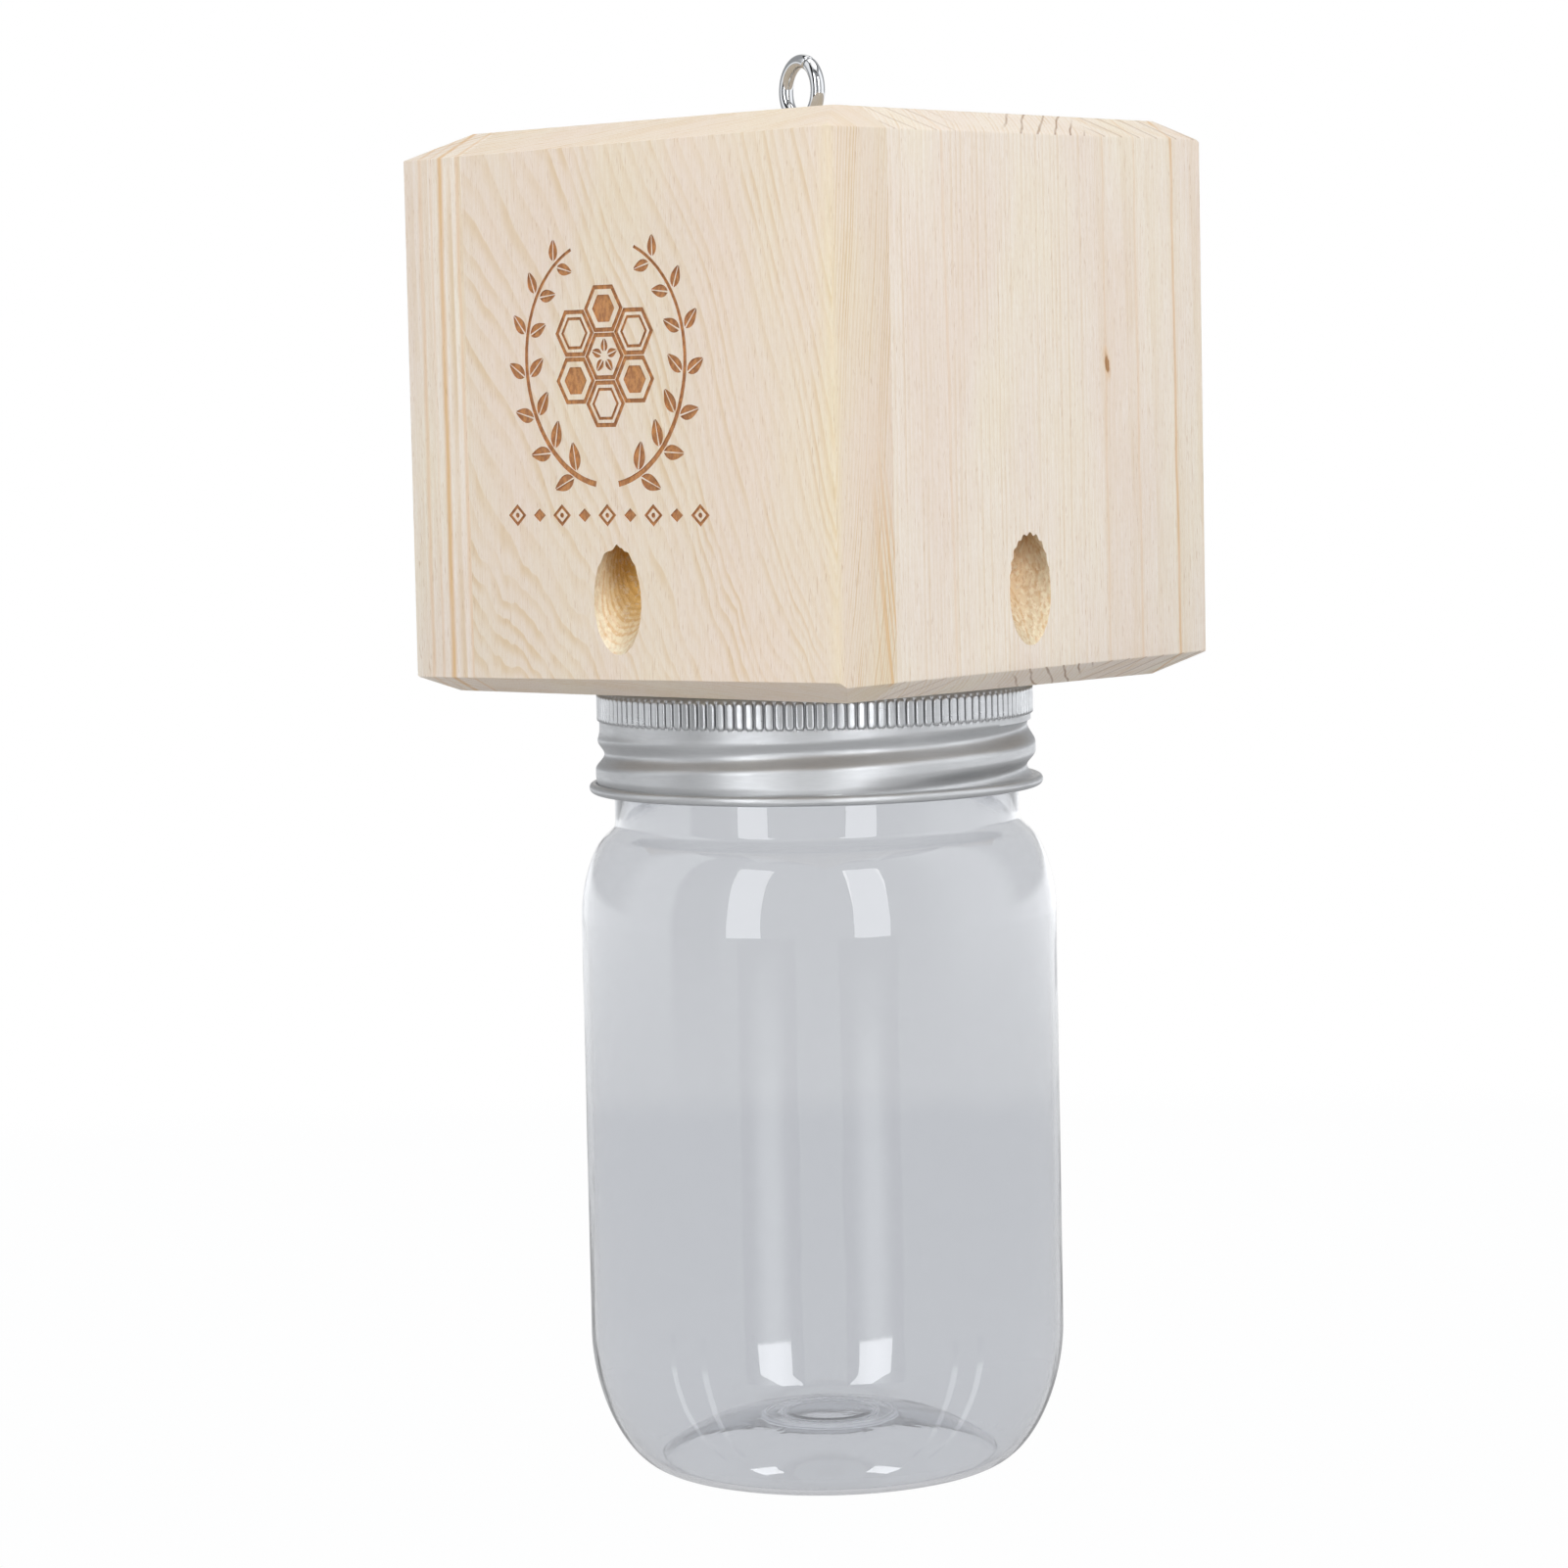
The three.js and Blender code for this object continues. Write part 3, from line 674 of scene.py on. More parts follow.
def metal(name, tone, roughness, brushed, uneven, dent=0.0, valley=None):
    """Plated or rolled metal with fine drawing marks and cloudy patches."""
    s = new_material(name)
    place = s.place()
    marks = s.noise(place, brushed, 3, 0.6)
    clouds = s.noise(place, (0.12, 0.12, 0.2))
    dull, dark = ([value * share for value in tone] + [1] for share in (0.86, 0.75))
    colour = s.tint((*tone, 1), dull, clouds, 0.3, 0.7, 0.35)
    colour = s.tint(colour, dark, marks, 0.35, 0.65, 0.12)
    shine = s.spread(marks, 0.3, 0.7, roughness, roughness + uneven) + clouds * uneven
    if valley:
        # Painted shade darkens the valleys between the ribs
        low, high, radius = (size / mm for size in valley)
        height = s.along(place, upright)
        inside = s.spread(height, low, low + 0.3) * s.spread(height, high, high - 0.3)
        deep = s.spread(s.from_axis(place), radius + 0.25, radius + 0.05)
        colour = s.mix(inside * deep * 0.42, colour, valley_shade)
        shine = shine - inside * 0.12
    inputs = dict(Base_Color=colour, Metallic=1.0, Roughness=shine)
    if dent:
        inputs["Normal"] = s.bump(marks + clouds * 3, dent)
    return s.finish(s.principled(**inputs))


def rubber():
    s = new_material("seal_rubber")
    speck = s.noise(s.place(), (2, 2, 2), 3)
    colour = s.tint(*seal_tones, speck, 0.3, 0.7)
    return s.finish(s.principled(Base_Color=colour, Roughness=0.62, Specular_IOR_Level=0.35,
                                 Normal=s.bump(speck, seal_relief)))


def clear_plastic():
    """Clear plastic, slightly grey; lamps shine through it."""
    s = new_material("jar_clear")
    place = s.place()
    flow = s.noise(place, (0.05, 0.05, 0.03))
    fine = s.noise(place, (0.5, 0.5, 0.12))
    # The gate's ring and rim are slightly frosted, rougher and less clear, and paler in colour there as a
    # painted highlight
    radius = s.from_axis(place)
    ring = s.spread(abs(radius - gate_ring_radius / mm), 0.4, 1, 1, 0)
    rim = s.spread(abs(radius - gate_radius / mm), 0.3, 0.8, 1, 0)
    above = s.along(place, upright) - (jar_low.z + base_dome_height) / mm
    frost_and_painted_highlight = s.spread(above, 0.5, 1.5, 1, 0) * s.math("MAXIMUM", ring, rim)
    plastic = s.principled(Base_Color=s.mix(frost_and_painted_highlight, (0.755, 0.765, 0.785, 1), (0.95, 0.955, 0.965, 1)),
                           Roughness=s.spread(frost_and_painted_highlight, 0, 1, 0.015, 0.25), IOR=1.5,
                           Transmission_Weight=s.spread(frost_and_painted_highlight, 0, 1, 1, 0.5),
                           Normal=s.bump(flow + fine * 0.04, jar_relief, 0.35))
    shadow = s.add("LightPath", {}, "Is Shadow Ray")
    through = s.add("BsdfTransparent", {"Color": (0.78, 0.79, 0.81, 1)})
    return s.finish(s.add("MixShader", {0: shadow, 1: plastic, 2: through}))


def finish_mesh(obj, smooth):
    bm = bmesh.new()
    bm.from_mesh(obj.data)
    bmesh.ops.recalc_face_normals(bm, faces=bm.faces)
    bm.to_mesh(obj.data)
    bm.free()
    obj.data.shade_smooth()
    obj.data.set_sharp_from_angle(angle=math.radians(smooth))
    return obj


def make(name, vertices, faces, material, smooth=35):
    mesh = bpy.data.meshes.new(name)
    mesh.from_pydata([tuple(vertex) for vertex in vertices], [], faces)
    mesh.validate()
    mesh.materials.append(material)
    return finish_mesh(link(name, mesh), smooth)


def grid_faces(rows, columns, closed_rows=False):
    """Quads between rings of points; a closed grid joins its last ring to its first."""
    faces = []
    for row in range(rows if closed_rows else rows - 1):
        following = (row + 1) % rows
        for column in range(columns):
            after = (column + 1) % columns
            faces.append((row * columns + column, row * columns + after,
                          following * columns + after, following * columns + column))
    return faces


def capped(name, first, points, last, columns, material, smooth=35):
    """A shape of rings of points, each with so many columns, between two end points."""
    faces = [tuple(1 + corner for corner in face) for face in grid_faces(len(points) // columns, columns)]
    end = len(points) + 1
    for column in range(columns):
        after = (column + 1) % columns
        faces.append((0, 1 + after, 1 + column))
        faces.append((end, end - columns + column, end - columns + after))
    return make(name, [first, *points, last], faces, material, smooth)


def prism_faces(start, count):
    """Faces of a prism whose two outlines, each of so many points, follow each other."""
    faces = [tuple(range(start, start + count)), tuple(range(start + 2 * count - 1, start + count - 1, -1))]
    for n in range(start, start + count):
        after = start + (n - start + 1) % count
        faces.append((after, n, n + count, after + count))
    return faces


def regular(centre, radius, sides):
    """The corners of a regular outline."""
    angles = [2 * math.pi * n / sides for n in range(sides)]
    return [(centre[0] + radius * math.cos(angle), centre[1] + radius * math.sin(angle)) for angle in angles]


def turned(name, profile, columns, material, closed=False, centre=(0, 0)):
    """A turned shape from a profile of radius and height, whose ends are on the axis if it isn't closed."""
    vertices = []
    faces = []
    rings = []
    for radius, z in profile:
        count = columns if radius else 1
        rings.append((len(vertices), count))
        vertices.extend((x, y, z) for x, y in regular(centre, radius, count))
    pairs = list(zip(rings, rings[1:] + rings[:1]))
    for (low, low_count), (high, high_count) in pairs if closed else pairs[:-1]:
        for column in range(columns):
            after = (column + 1) % columns
            if low_count == 1:
                faces.append((low, high + after, high + column))
            elif high_count == 1:
                faces.append((low + column, low + after, high))
            else:
                faces.append((low + column, low + after, high + after, high + column))
    return make(name, vertices, faces, material)


def bore(name, radius, low, high, columns, material, centre=(0, 0)):
    """A plain cylinder that cuts a hole."""
    profile = [(0, low), (radius, low), (radius, high), (0, high)]
    return turned(name, profile, columns, material, centre=centre)


def quarter_turn(steps):
    """The sine and cosine at each step of a quarter turn."""
    angles = [math.pi / 2 * n / steps for n in range(steps + 1)]
    return [(math.sin(angle), math.cos(angle)) for angle in angles]


def bend(start, middle, end, steps):
    """Points on a curve that starts toward a middle point and ends coming from it."""
    points = []
    for step in range(steps + 1):
        share = step / steps
        point = start * (1 - share) ** 2 + middle * 2 * share * (1 - share) + end * share ** 2
        points.append((point.x, point.y))
    return points


def rounded(points, radii, steps, closed=False):
    """An outline whose corners are rounded, each by its own radius."""
    result = []
    count = len(points)
    for place, (point, radius) in enumerate(zip(points, radii)):
        if radius == 0 or (not closed and place in (0, count - 1)):
            result.append(tuple(point))
            continue
        here = Vector(point)
        to_before = Vector(points[place - 1]) - here
        to_after = Vector(points[(place + 1) % count]) - here
        half = to_before.angle(to_after) / 2
        reach = min(radius / math.tan(half), 0.49 * to_before.length, 0.49 * to_after.length)
        result.extend(bend(here + to_before.normalized() * reach, here,
                           here + to_after.normalized() * reach, steps))
    return result


def cut(obj, cutters, smooth, operation="DIFFERENCE"):
    """Boolean with other objects, which are then removed."""
    for cutter in cutters:
        modifier = obj.modifiers.new("cut", "BOOLEAN")
        modifier.operation = operation
        modifier.solver = "EXACT"
        modifier.material_mode = "TRANSFER"
        modifier.object = cutter
    bpy.context.view_layer.update()
    depsgraph = bpy.context.evaluated_depsgraph_get()
    mesh = bpy.data.meshes.new_from_object(obj.evaluated_get(depsgraph))
    obj.modifiers.clear()
    old = obj.data
    obj.data = mesh
    mesh.name = obj.name
    bpy.data.meshes.remove(old)
    for cutter in cutters:
        bpy.data.objects.remove(cutter)
    return finish_mesh(obj, smooth)


def dress(obj, body, node):
    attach(obj, body)
    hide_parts(node)


def entry_cutter(name, quarter, material, splinters, broken, seed):
    """The drilled hole of one board, with drill marks on its wall and a torn upper lip."""
    rise = math.radians(entry_rise)
    way = Vector((0, math.cos(rise), math.sin(rise)))
    side = Vector((1, 0, 0))
    top = side.cross(way)
    mouth = Vector((0, -board_face, block_bottom + entry_height))
    turn = Matrix.Rotation(quarter * math.pi / 2, 4, "Z")
    points = []
    for ring in range(entry_rings + 1):
        distance = entry_start + (entry_end - entry_start) * ring / entry_rings
        for column in range(entry_columns):
            angle = 2 * math.pi * column / entry_columns
            away = side * math.sin(angle) + top * math.cos(angle)
            place = mouth + way * distance + away * entry_radius
            lean = (angle + math.pi) % (2 * math.pi) - math.pi
            near_face = float(smooth_step(-place.y, board_face - lip_depth, board_face - lip_edge))
            teeth = max(height * max(0, 1 - abs(lean - at) / width) for at, width, height in splinters)
            lift = teeth + broken * float(smooth_step(-abs(lean), *broken_lip))
            rough = sum(noise.noise(Vector((angle * close, distance / step, seed + shift)))
                        for close, step, shift in drill_marks) * drill_mark_height
            points.append(turn @ (place + away * (lift * near_face + rough)))
    return capped(name, turn @ (mouth + way * entry_start), points, turn @ (mouth + way * entry_end),
                  entry_columns, material)


def outer_shape(node):
    """A board's own shape without its hole, its outer edges rounded and its glue faces brought together."""
    through_way, across_way, _ = (Vector(way) for way in board_ways[node])
    plate = node.endswith("plate")
    bm = bmesh.new()
    for vertex in nodes[node].data.vertices:
        bm.verts.new(vertex.co)
    hull = bmesh.ops.convex_hull(bm, input=bm.verts)
    inside = hull["geom_interior"] + hull["geom_unused"]
    spare = {part for part in inside if isinstance(part, bmesh.types.BMVert)}
    bmesh.ops.delete(bm, geom=list(spare), context="VERTS")
    bmesh.ops.remove_doubles(bm, verts=bm.verts, dist=weld_distance)
    bmesh.ops.dissolve_limit(bm, angle_limit=math.radians(1), verts=bm.verts, edges=bm.edges)
    for vertex in bm.verts:
        if plate:
            for axis in (0, 1):
                vertex.co[axis] = math.copysign(board_inner - seam_gap, vertex.co[axis])
        elif abs(vertex.co.dot(across_way) + board_glue_end) < glue_end_reach:
            vertex.co -= across_way * (vertex.co.dot(across_way) + board_inner - seam_gap)
    if not plate:
        edges = []
        for edge in bm.edges:
            inner = [face for face in edge.link_faces
                     if face.normal.dot(through_way) < -0.9 or face.normal.dot(across_way) < -0.9]
            sharp = len(edge.link_faces) == 2 and edge.calc_face_angle() > math.radians(edge_angle)
            if sharp and not inner:
                edges.append(edge)
        bmesh.ops.bevel(bm, geom=edges, offset=edge_round, segments=3, profile=edge_profile,
                        affect="EDGES", clamp_overlap=True)
    bm.normal_update()
    mesh = bpy.data.meshes.new(node + "_wood")
    bm.to_mesh(mesh)
    bm.free()
    mesh.materials.append(pine(node))
    return link(node + "_wood", mesh)


def ribbon(path, widths):
    """A closed outline round a path in the plane, given its width at each point."""
    left = []
    right = []
    for place, point in enumerate(path):
        before = Vector(path[max(place - 1, 0)])
        after = Vector(path[min(place + 1, len(path) - 1)])
        along = (after - before).normalized()
        away = Vector((-along.y, along.x)) * widths[place] / 2
        left.append(Vector(point) + away)
        right.append(Vector(point) - away)
    return left + right[::-1]


def leaf(root, angle, length, width):
    """A pointed leaf as two halves beside a bare midrib."""
    halves = []
    along = Vector((math.cos(angle), math.sin(angle)))
    across = Vector((-along.y, along.x))
    shares = [step / leaf_steps for step in range(leaf_steps + 1)]
    outer_rib, inner_rib = leaf_rib
    swell_lean, swell_fullness = leaf_swell
    for sign in (1, -1):
        outline = []
        for share in shares:
            swell = math.sin(math.pi * share ** swell_lean) ** swell_fullness * width / 2
            outline.append(root + along * length * share + across * sign * (outer_rib + swell))
        for share in reversed(shares):
            rib = inner_rib * (1 - share * leaf_rib_taper)
            outline.append(root + along * length * share + across * sign * rib)
        halves.append(outline[::-sign])
    return halves


def diamond(x, size):
    half_width, half_height = size
    return [(x - half_width, rule_height), (x, rule_height - half_height),
            (x + half_width, rule_height), (x, rule_height + half_height)]


def motif_shapes():
    """A generic burnt ornament in millimetres: a cluster of cells between two leafy sprigs, and a rule."""
    middle_x, middle_y = motif_middle
    solids = []
    frames = []
    for number in range(7):
        at = 2 * math.pi * number / 6 - math.radians(cell_turn)
        out = cell_radius * math.sqrt(3) * cell_spread if number else 0
        centre = (middle_x + out * math.cos(at), middle_y + out * math.sin(at))
        frames.append((regular(centre, cell_radius, 6), regular(centre, cell_radius - cell_line, 6)))
        if number % 2:
            frames.append([regular(centre, cell_radius - inset, 6) for inset in cell_inner_line])
        elif number:
            solids.append(regular(centre, cell_fill_radius, 6))
        else:
            for n in range(petal_count):
                at = 2 * math.pi * n / petal_count + math.pi / 2
                root = (centre[0] + petal_root * math.cos(at), centre[1] + petal_root * math.sin(at))
                solids.extend(leaf(Vector(root), at, *petal_size))
    reach, flare, shift = sprig_reach
    start, end = sprig_angles
    for side in (-1, 1):
        path = []
        widths = []
        for n in range(sprig_steps + 1):
            share = n / sprig_steps
            at = math.radians(start + (end - start) * share)
            path.append((middle_x + side * (reach + flare * share) * math.cos(at) + side * shift,
                         middle_y - sprig_drop + sprig_height * math.sin(at)))
            widths.append(sprig_width[0] - sprig_width[1] * share)
        solids.append(ribbon(path, widths))
        for n in range(first_leaf, sprig_steps - 1, leaf_every):
            here = Vector(path[n])
            along = (Vector(path[n + 1]) - here).normalized()
            for lean in (-leaf_lean, leaf_lean):
                at = math.atan2(along.y, along.x) + math.radians(lean)
                root = here + Vector((math.cos(at), math.sin(at))) * leaf_gap
                size = [most - taper * n for most, taper in zip(leaf_size, leaf_taper)]
                solids.extend(leaf(root, at, *size))
    outer, inner, small = rule_diamonds
    for n in range(-rule_reach, rule_reach + 1):
        x = middle_x - rule_shift + n * rule_step
        if n % 2:
            solids.append(diamond(x, small))
        else:
            frames.append((diamond(x, outer), diamond(x, inner)))
            solids.append(regular((x, rule_height), rule_dot_radius, rule_dot_sides))
    return solids, frames


def motif_cutter(material):
    """The ornament as closed prisms that reach a little way into the front face."""
    solids, frames = motif_shapes()
    vertices = []
    faces = []
    near = -board_face - cutter_over
    far = -board_face + motif_depth

    def add_outlines(*outlines):
        for outline, y in outlines:
            vertices.extend((x * mm, y, block_middle + z * mm) for x, z in outline)

    for outline in solids:
        faces.extend(prism_faces(len(vertices), len(outline)))
        add_outlines((outline, near), (outline, far))
    for outer, inner in frames:
        start = len(vertices)
        count = len(outer)
        add_outlines((outer, near), (inner, near), (outer, far), (inner, far))
        for n in range(count):
            a = start + n
            b = start + (n + 1) % count
            faces.append((a, b, b + count, a + count))
            faces.append((b + 2 * count, a + 2 * count, a + 3 * count, b + 3 * count))
            faces.append((b, a, a + 2 * count, b + 2 * count))
            faces.append((a + count, b + count, b + 3 * count, a + 3 * count))
    return make("motif_cutter", vertices, faces, material)


def screw_place(number):
    angle = math.radians(screw_first_angle) + 2 * math.pi * number / screw_count
    return (screw_circle_radius * math.cos(angle), screw_circle_radius * math.sin(angle))


def screw_bores(name, low, high, material):
    return [bore(f"{name}_{number}", screw_radius + screw_hole_gap, low, high, screw_hole_columns, material,
                 screw_place(number)) for number in range(screw_count)]


def build_block():
    for quarter, node in enumerate(("front_board", "right_board", "back_board", "left_board")):
        cutters = [entry_cutter(node + "_hole", quarter, pine(node, "drilled"), *lips[node],
                                board_rings[node]["seed"])]
        if node == "front_board":
            cutters.append(motif_cutter(pine(node, "burnt")))
        dress(cut(outer_shape(node), cutters, wood_smooth), "block", node)
    eye_hole = bore("eye_hole", eye_hole_radius, block_top - eye_hole_depth, block_top + cutter_over,
                    eye_hole_columns, pine("top_plate", "drilled"))
    dress(cut(outer_shape("top_plate"), [eye_hole], wood_smooth), "block", "top_plate")
    low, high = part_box("bottom_plate")
    drilled = pine("bottom_plate", "drilled")
    start = low.z - cutter_over
    cutters = [bore("drop_hole", drop_hole_radius, start, high.z + cutter_over, drop_hole_columns, drilled)]
    cutters += screw_bores("screw_hole", start, low.z + screw_hole_depth, drilled)
    dress(cut(outer_shape("bottom_plate"), cutters, wood_smooth), "block", "bottom_plate")


def build_eye():
    chrome = metal("eye_chrome", (0.62, 0.625, 0.63), 0.05, (0.6, 0.6, 0.6), 0.02)
    gap = eye_seam / 2 / eye_ring_radius
    start = math.radians(90 - eye_seam_angle) - gap
    sweep = 2 * math.pi - 2 * gap
    turn = Matrix.Rotation(math.radians(eye_turn), 4, "Z")
    # The wire's ends are slightly rounded where they meet at the seam
    end_sweep = eye_end_round / eye_ring_radius
    ends = [(end_sweep * (1 - cosine), eye_wire / 2 - eye_end_round * (1 - sine))
            for sine, cosine in quarter_turn(eye_end_steps)[:-1]]
    stations = ends + [(end_sweep + (sweep - 2 * end_sweep) * n / eye_steps, eye_wire / 2)
                       for n in range(eye_steps + 1)]
    stations += [(sweep - offset, radius) for offset, radius in reversed(ends)]
    vertices = []
    for offset, radius in stations:
        out = Vector((math.cos(start - offset), 0, math.sin(start - offset)))
        centre = out * eye_ring_radius + Vector((0, 0, eye_centre))
        for side in range(eye_sides):
            around = 2 * math.pi * side / eye_sides
            place = centre + out * radius * math.cos(around) + Vector((0, radius * math.sin(around), 0))
            vertices.append(turn @ place)
    faces = grid_faces(len(stations), eye_sides)
    faces.append(tuple(range(eye_sides)))
    faces.append(tuple(range(len(vertices) - 1, len(vertices) - eye_sides - 1, -1)))
    ring = make("screw_eye_chrome", vertices, faces, chrome, metal_smooth)

    # Shank with its rolled thread
    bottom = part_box("screw_eye")[0].z
    ring_foot = eye_centre - eye_ring_radius
    fade_start, fade_end = (block_top - depth for depth in shank_fade)
    points = []
    for n in range(shank_rows + 1):
        z = bottom + shank_first + (ring_foot - bottom - shank_first) * n / shank_rows
        taper = min(1, (z - bottom) / shank_tip)
        fade = 1 - float(smooth_step(z, fade_start, fade_end))
        for column in range(eye_sides):
            angle = 2 * math.pi * column / eye_sides
            phase = (z / shank_thread_pitch - column / eye_sides) % 1
            ridge = max(0, 1 - abs(phase - 0.5) / shank_thread_half)
            radius = taper * (shank_core_radius + shank_thread_height * ridge * fade)
            radius = min(radius + (1 - fade) * shank_neck_swell, shank_most_radius)
            points.append((radius * math.cos(angle), radius * math.sin(angle), z))
    shank = capped("eye_shank", (0, 0, bottom), points, (0, 0, ring_foot), eye_sides, chrome, metal_smooth)
    dress(cut(ring, [shank], metal_smooth, "UNION"), "block", "screw_eye")


def build_lid():
    tin = metal("lid_tin", (0.74, 0.74, 0.73), 0.26, (1.4, 0.1, 1.4), 0.1, disc_relief)
    zinc = metal("screw_zinc", (0.7, 0.71, 0.73), 0.3, (2, 2, 2), 0.12, screw_relief)
    wood = block_bottom
    under = wood - sheet
    rim_low = disc_low.z
    rim_high = rim_low + sheet
    # The disc, with a bead pressed round its panel; the outline runs along the underside, then back
    bead_out, bead_crest, bead_in = (panel_radius - inset for inset in panel_bead)
    outline = [(disc_hole_radius, under), (bead_out, under), (bead_crest, under - panel_bead_height),
               (bead_in, under), (panel_radius - sheet, under), (panel_radius - sheet, rim_low),
               (disc_high.x, rim_low), (disc_high.x, rim_high), (panel_radius, rim_high),
               (panel_radius, wood), (disc_hole_radius, wood)]
    disc = turned("lid_disc_tin", rounded(outline, disc_rounds, 4, True), disc_columns, tin, True)
    cutters = screw_bores("disc_hole", wood - 2 * cutter_over, wood + 2 * cutter_over, tin)
    dress(cut(disc, cutters, lid_smooth), "block", "lid_disc")

    outline = [(seal_high.x, seal_low.z), (seal_high.x, seal_high.z),
               (seal_inner_radius, seal_high.z), (seal_inner_radius, seal_low.z)]
    seal = turned("lid_seal_ring", rounded(outline, seal_rounds, 5, True), disc_columns, rubber(), True)
    dress(seal, "block", "lid_seal")

    crown_width, crown_height = screw_crown_shares
    for number in range(screw_count):
        name = f"lid_screw_{number + 1}"
        low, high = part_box(name)
        seat = low.z + screw_head_height
        outline = [(0, low.z), (screw_head_radius * crown_width, low.z),
                   (screw_head_radius, low.z + screw_head_height * crown_height), (screw_head_radius, seat),
                   (screw_radius, seat), (screw_radius, high.z - screw_tip), (0, high.z)]
        centre = screw_place(number)
        screw = turned(name + "_pan", rounded(outline, screw_rounds, 5), screw_columns, zinc, centre=centre)
        angle = number * screw_slot_step + screw_slot_turn
        along = Vector((math.cos(angle), math.sin(angle), 0)) * screw_head_radius * 2
        side = Vector((-math.sin(angle), math.cos(angle), 0)) * screw_slot_width / 2
        corners = [Vector((*centre, z)) + along * a + side * b
                   for z in (low.z - cutter_over, low.z + screw_slot_depth)
                   for a, b in ((-1, -1), (1, -1), (1, 1), (-1, 1))]
        slot = make("slot_cutter", corners, prism_faces(0, 4), zinc)
        dress(cut(screw, [slot], lid_smooth), "block", name)


def groove_height(degrees):
    return block_bottom - thread_below_wood + (degrees - thread_angle) / 360 * thread_pitch


def thread_sum(angle, run, shape):
    """Sum over the turns of a thread that pass each angle: the fade there times the shape."""
    start, end, fade = run
    degrees = np.degrees(angle)
    total = np.zeros_like(degrees)
    for turn in range(math.floor(start / 360), math.ceil(end / 360) + 1):
        here = degrees + 360 * turn
        inside = (here > start) & (here < end)
        strength = smooth_step(here - start, 0, fade) * smooth_step(end - here, 0, fade)
        total += np.where(inside, strength * shape(here), 0)
    return total


def ring_points(rows, angles):
    """Points of rows of radii and heights at the same angles."""
    radii = np.array([radius for radius, z in rows])
    heights = np.array([z for radius, z in rows])[:, None] * np.ones_like(radii)
    return np.stack([radii * np.cos(angles), radii * np.sin(angles), heights], -1).reshape(-1, 3).tolist()


def build_band():
    top = band_high.z
    grip_top = top - shoulder_round
    grip_bottom = top - grip_height
    wall_top = grip_bottom - wall_step
    tin = metal("band_tin", (0.515, 0.52, 0.525), 0.36, (0.35, 0.35, 3), 0.08, band_relief,
                (grip_bottom + rib_foot, grip_top, grip_radius))
    pitch = 2 * math.pi / rib_count
    angles = (np.arange(rib_count)[:, None] + np.array(rib_shares)[None, :]).ravel() * pitch
    angles = np.sort(np.mod(angles, 2 * math.pi))
    curl_middle = band_low.z + curl_radius
    fold = math.radians(fold_angle)
    fold_radius = curl_reach - curl_radius * (1 - math.cos(fold))
    wall_bottom = curl_middle + curl_radius * math.sin(fold) + band_lip
    rows = []

    def plain(radius, z):
        rows.append((np.full_like(angles, radius), z))

    def wall(radius, z):
        def hump(here):
            offset = z - groove_height(here)
            return np.where(np.abs(offset) < groove_width / 2, np.cos(np.pi * offset / groove_width) ** 2, 0)

        flare = (wall_radius - grip_radius) * float(smooth_step(z, wall_top - wall_flare_height, wall_top))
        tuck = (wall_radius - fold_radius) * float(smooth_step(z, wall_bottom + fold_height, wall_bottom))
        rows.append((radius - flare - tuck - groove_depth * thread_sum(angles, groove_run, hump), z))

    # Curl at the lower edge, from inside under and out, then up into the wall
    for n in range(curl_steps + 1):
        angle = math.radians(curl_start + (fold_angle - curl_start) * n / curl_steps)
        plain(curl_reach - curl_radius * (1 - math.cos(angle)), curl_middle + curl_radius * math.sin(angle))
    for n in range(wall_count + 1):
        wall(wall_radius, wall_bottom + (wall_top - wall_bottom) * n / wall_count)
    for n in range(1, grip_foot_rows + 1):
        plain(grip_radius, wall_top + (grip_bottom + rib_foot - wall_top) * n / grip_foot_rows)

    # Flat-topped ribs with rounded ends
    around = (np.mod(angles / pitch + 0.5, 1) - 0.5) * pitch * grip_radius
    rib_low = grip_bottom + rib_foot + rib_edge / 2
    rib_high = grip_top + rib_edge
    for n in range(rib_rows + 1):
        z = rib_low + (rib_high - rib_low) * n / rib_rows
        end = max(rib_low + rib_end - z, z - (rib_high - rib_end), 0)
        away = np.sqrt(around ** 2 + end ** 2)
        height = rib_height * smooth_step(away, rib_half_width + rib_edge, rib_half_width - rib_edge)
        rows.append((grip_radius + height - valley_depth * smooth_step(np.abs(around), *valley_edges), z))
    for sine, cosine in quarter_turn(shoulder_steps)[1:]:
        plain(grip_radius - shoulder_round * (1 - cosine), grip_top + shoulder_round * sine)
    plain(band_flange_radius + band_lip, top)
    plain(band_flange_radius, top - band_sheet / 2)
    inner_grip = grip_radius - band_sheet
    flange_bottom = top - band_sheet
    plain(band_flange_radius + band_lip, flange_bottom)
    plain(inner_grip - shoulder_round, flange_bottom)
    inner_corner = shoulder_round * shoulder_inner_share
    plain(inner_grip - inner_corner, flange_bottom - inner_corner)
    plain(inner_grip, flange_bottom - shoulder_round)
    plain(inner_grip, grip_bottom)
    inner_count = wall_count // 2
    for n in range(inner_count + 1):
        wall(wall_radius - band_sheet, wall_top - (wall_top - wall_bottom) * n / inner_count)
    plain(wall_radius - band_sheet, curl_middle)
    faces = grid_faces(len(rows), len(angles), closed_rows=True)
    band = make("lid_band_tin", ring_points(rows, angles), faces, tin, band_smooth)
    dress(band, "band", "lid_band")


def corner(steps):
    """A full corner from 0, 0 to 1, 1, level at first."""
    return [(sine ** (2 / corner_fullness), 1 - max(0, cosine) ** (2 / corner_fullness))
            for sine, cosine in quarter_turn(steps)]


def offset_profile(profile, distance):
    result = []
    for place, (radius, z) in enumerate(profile):
        before = Vector(profile[max(place - 1, 0)])
        after = Vector(profile[min(place + 1, len(profile) - 1)])
        along = (after - before).normalized()
        result.append((max(radius - along.y * distance, 0), z + along.x * distance))
    return result


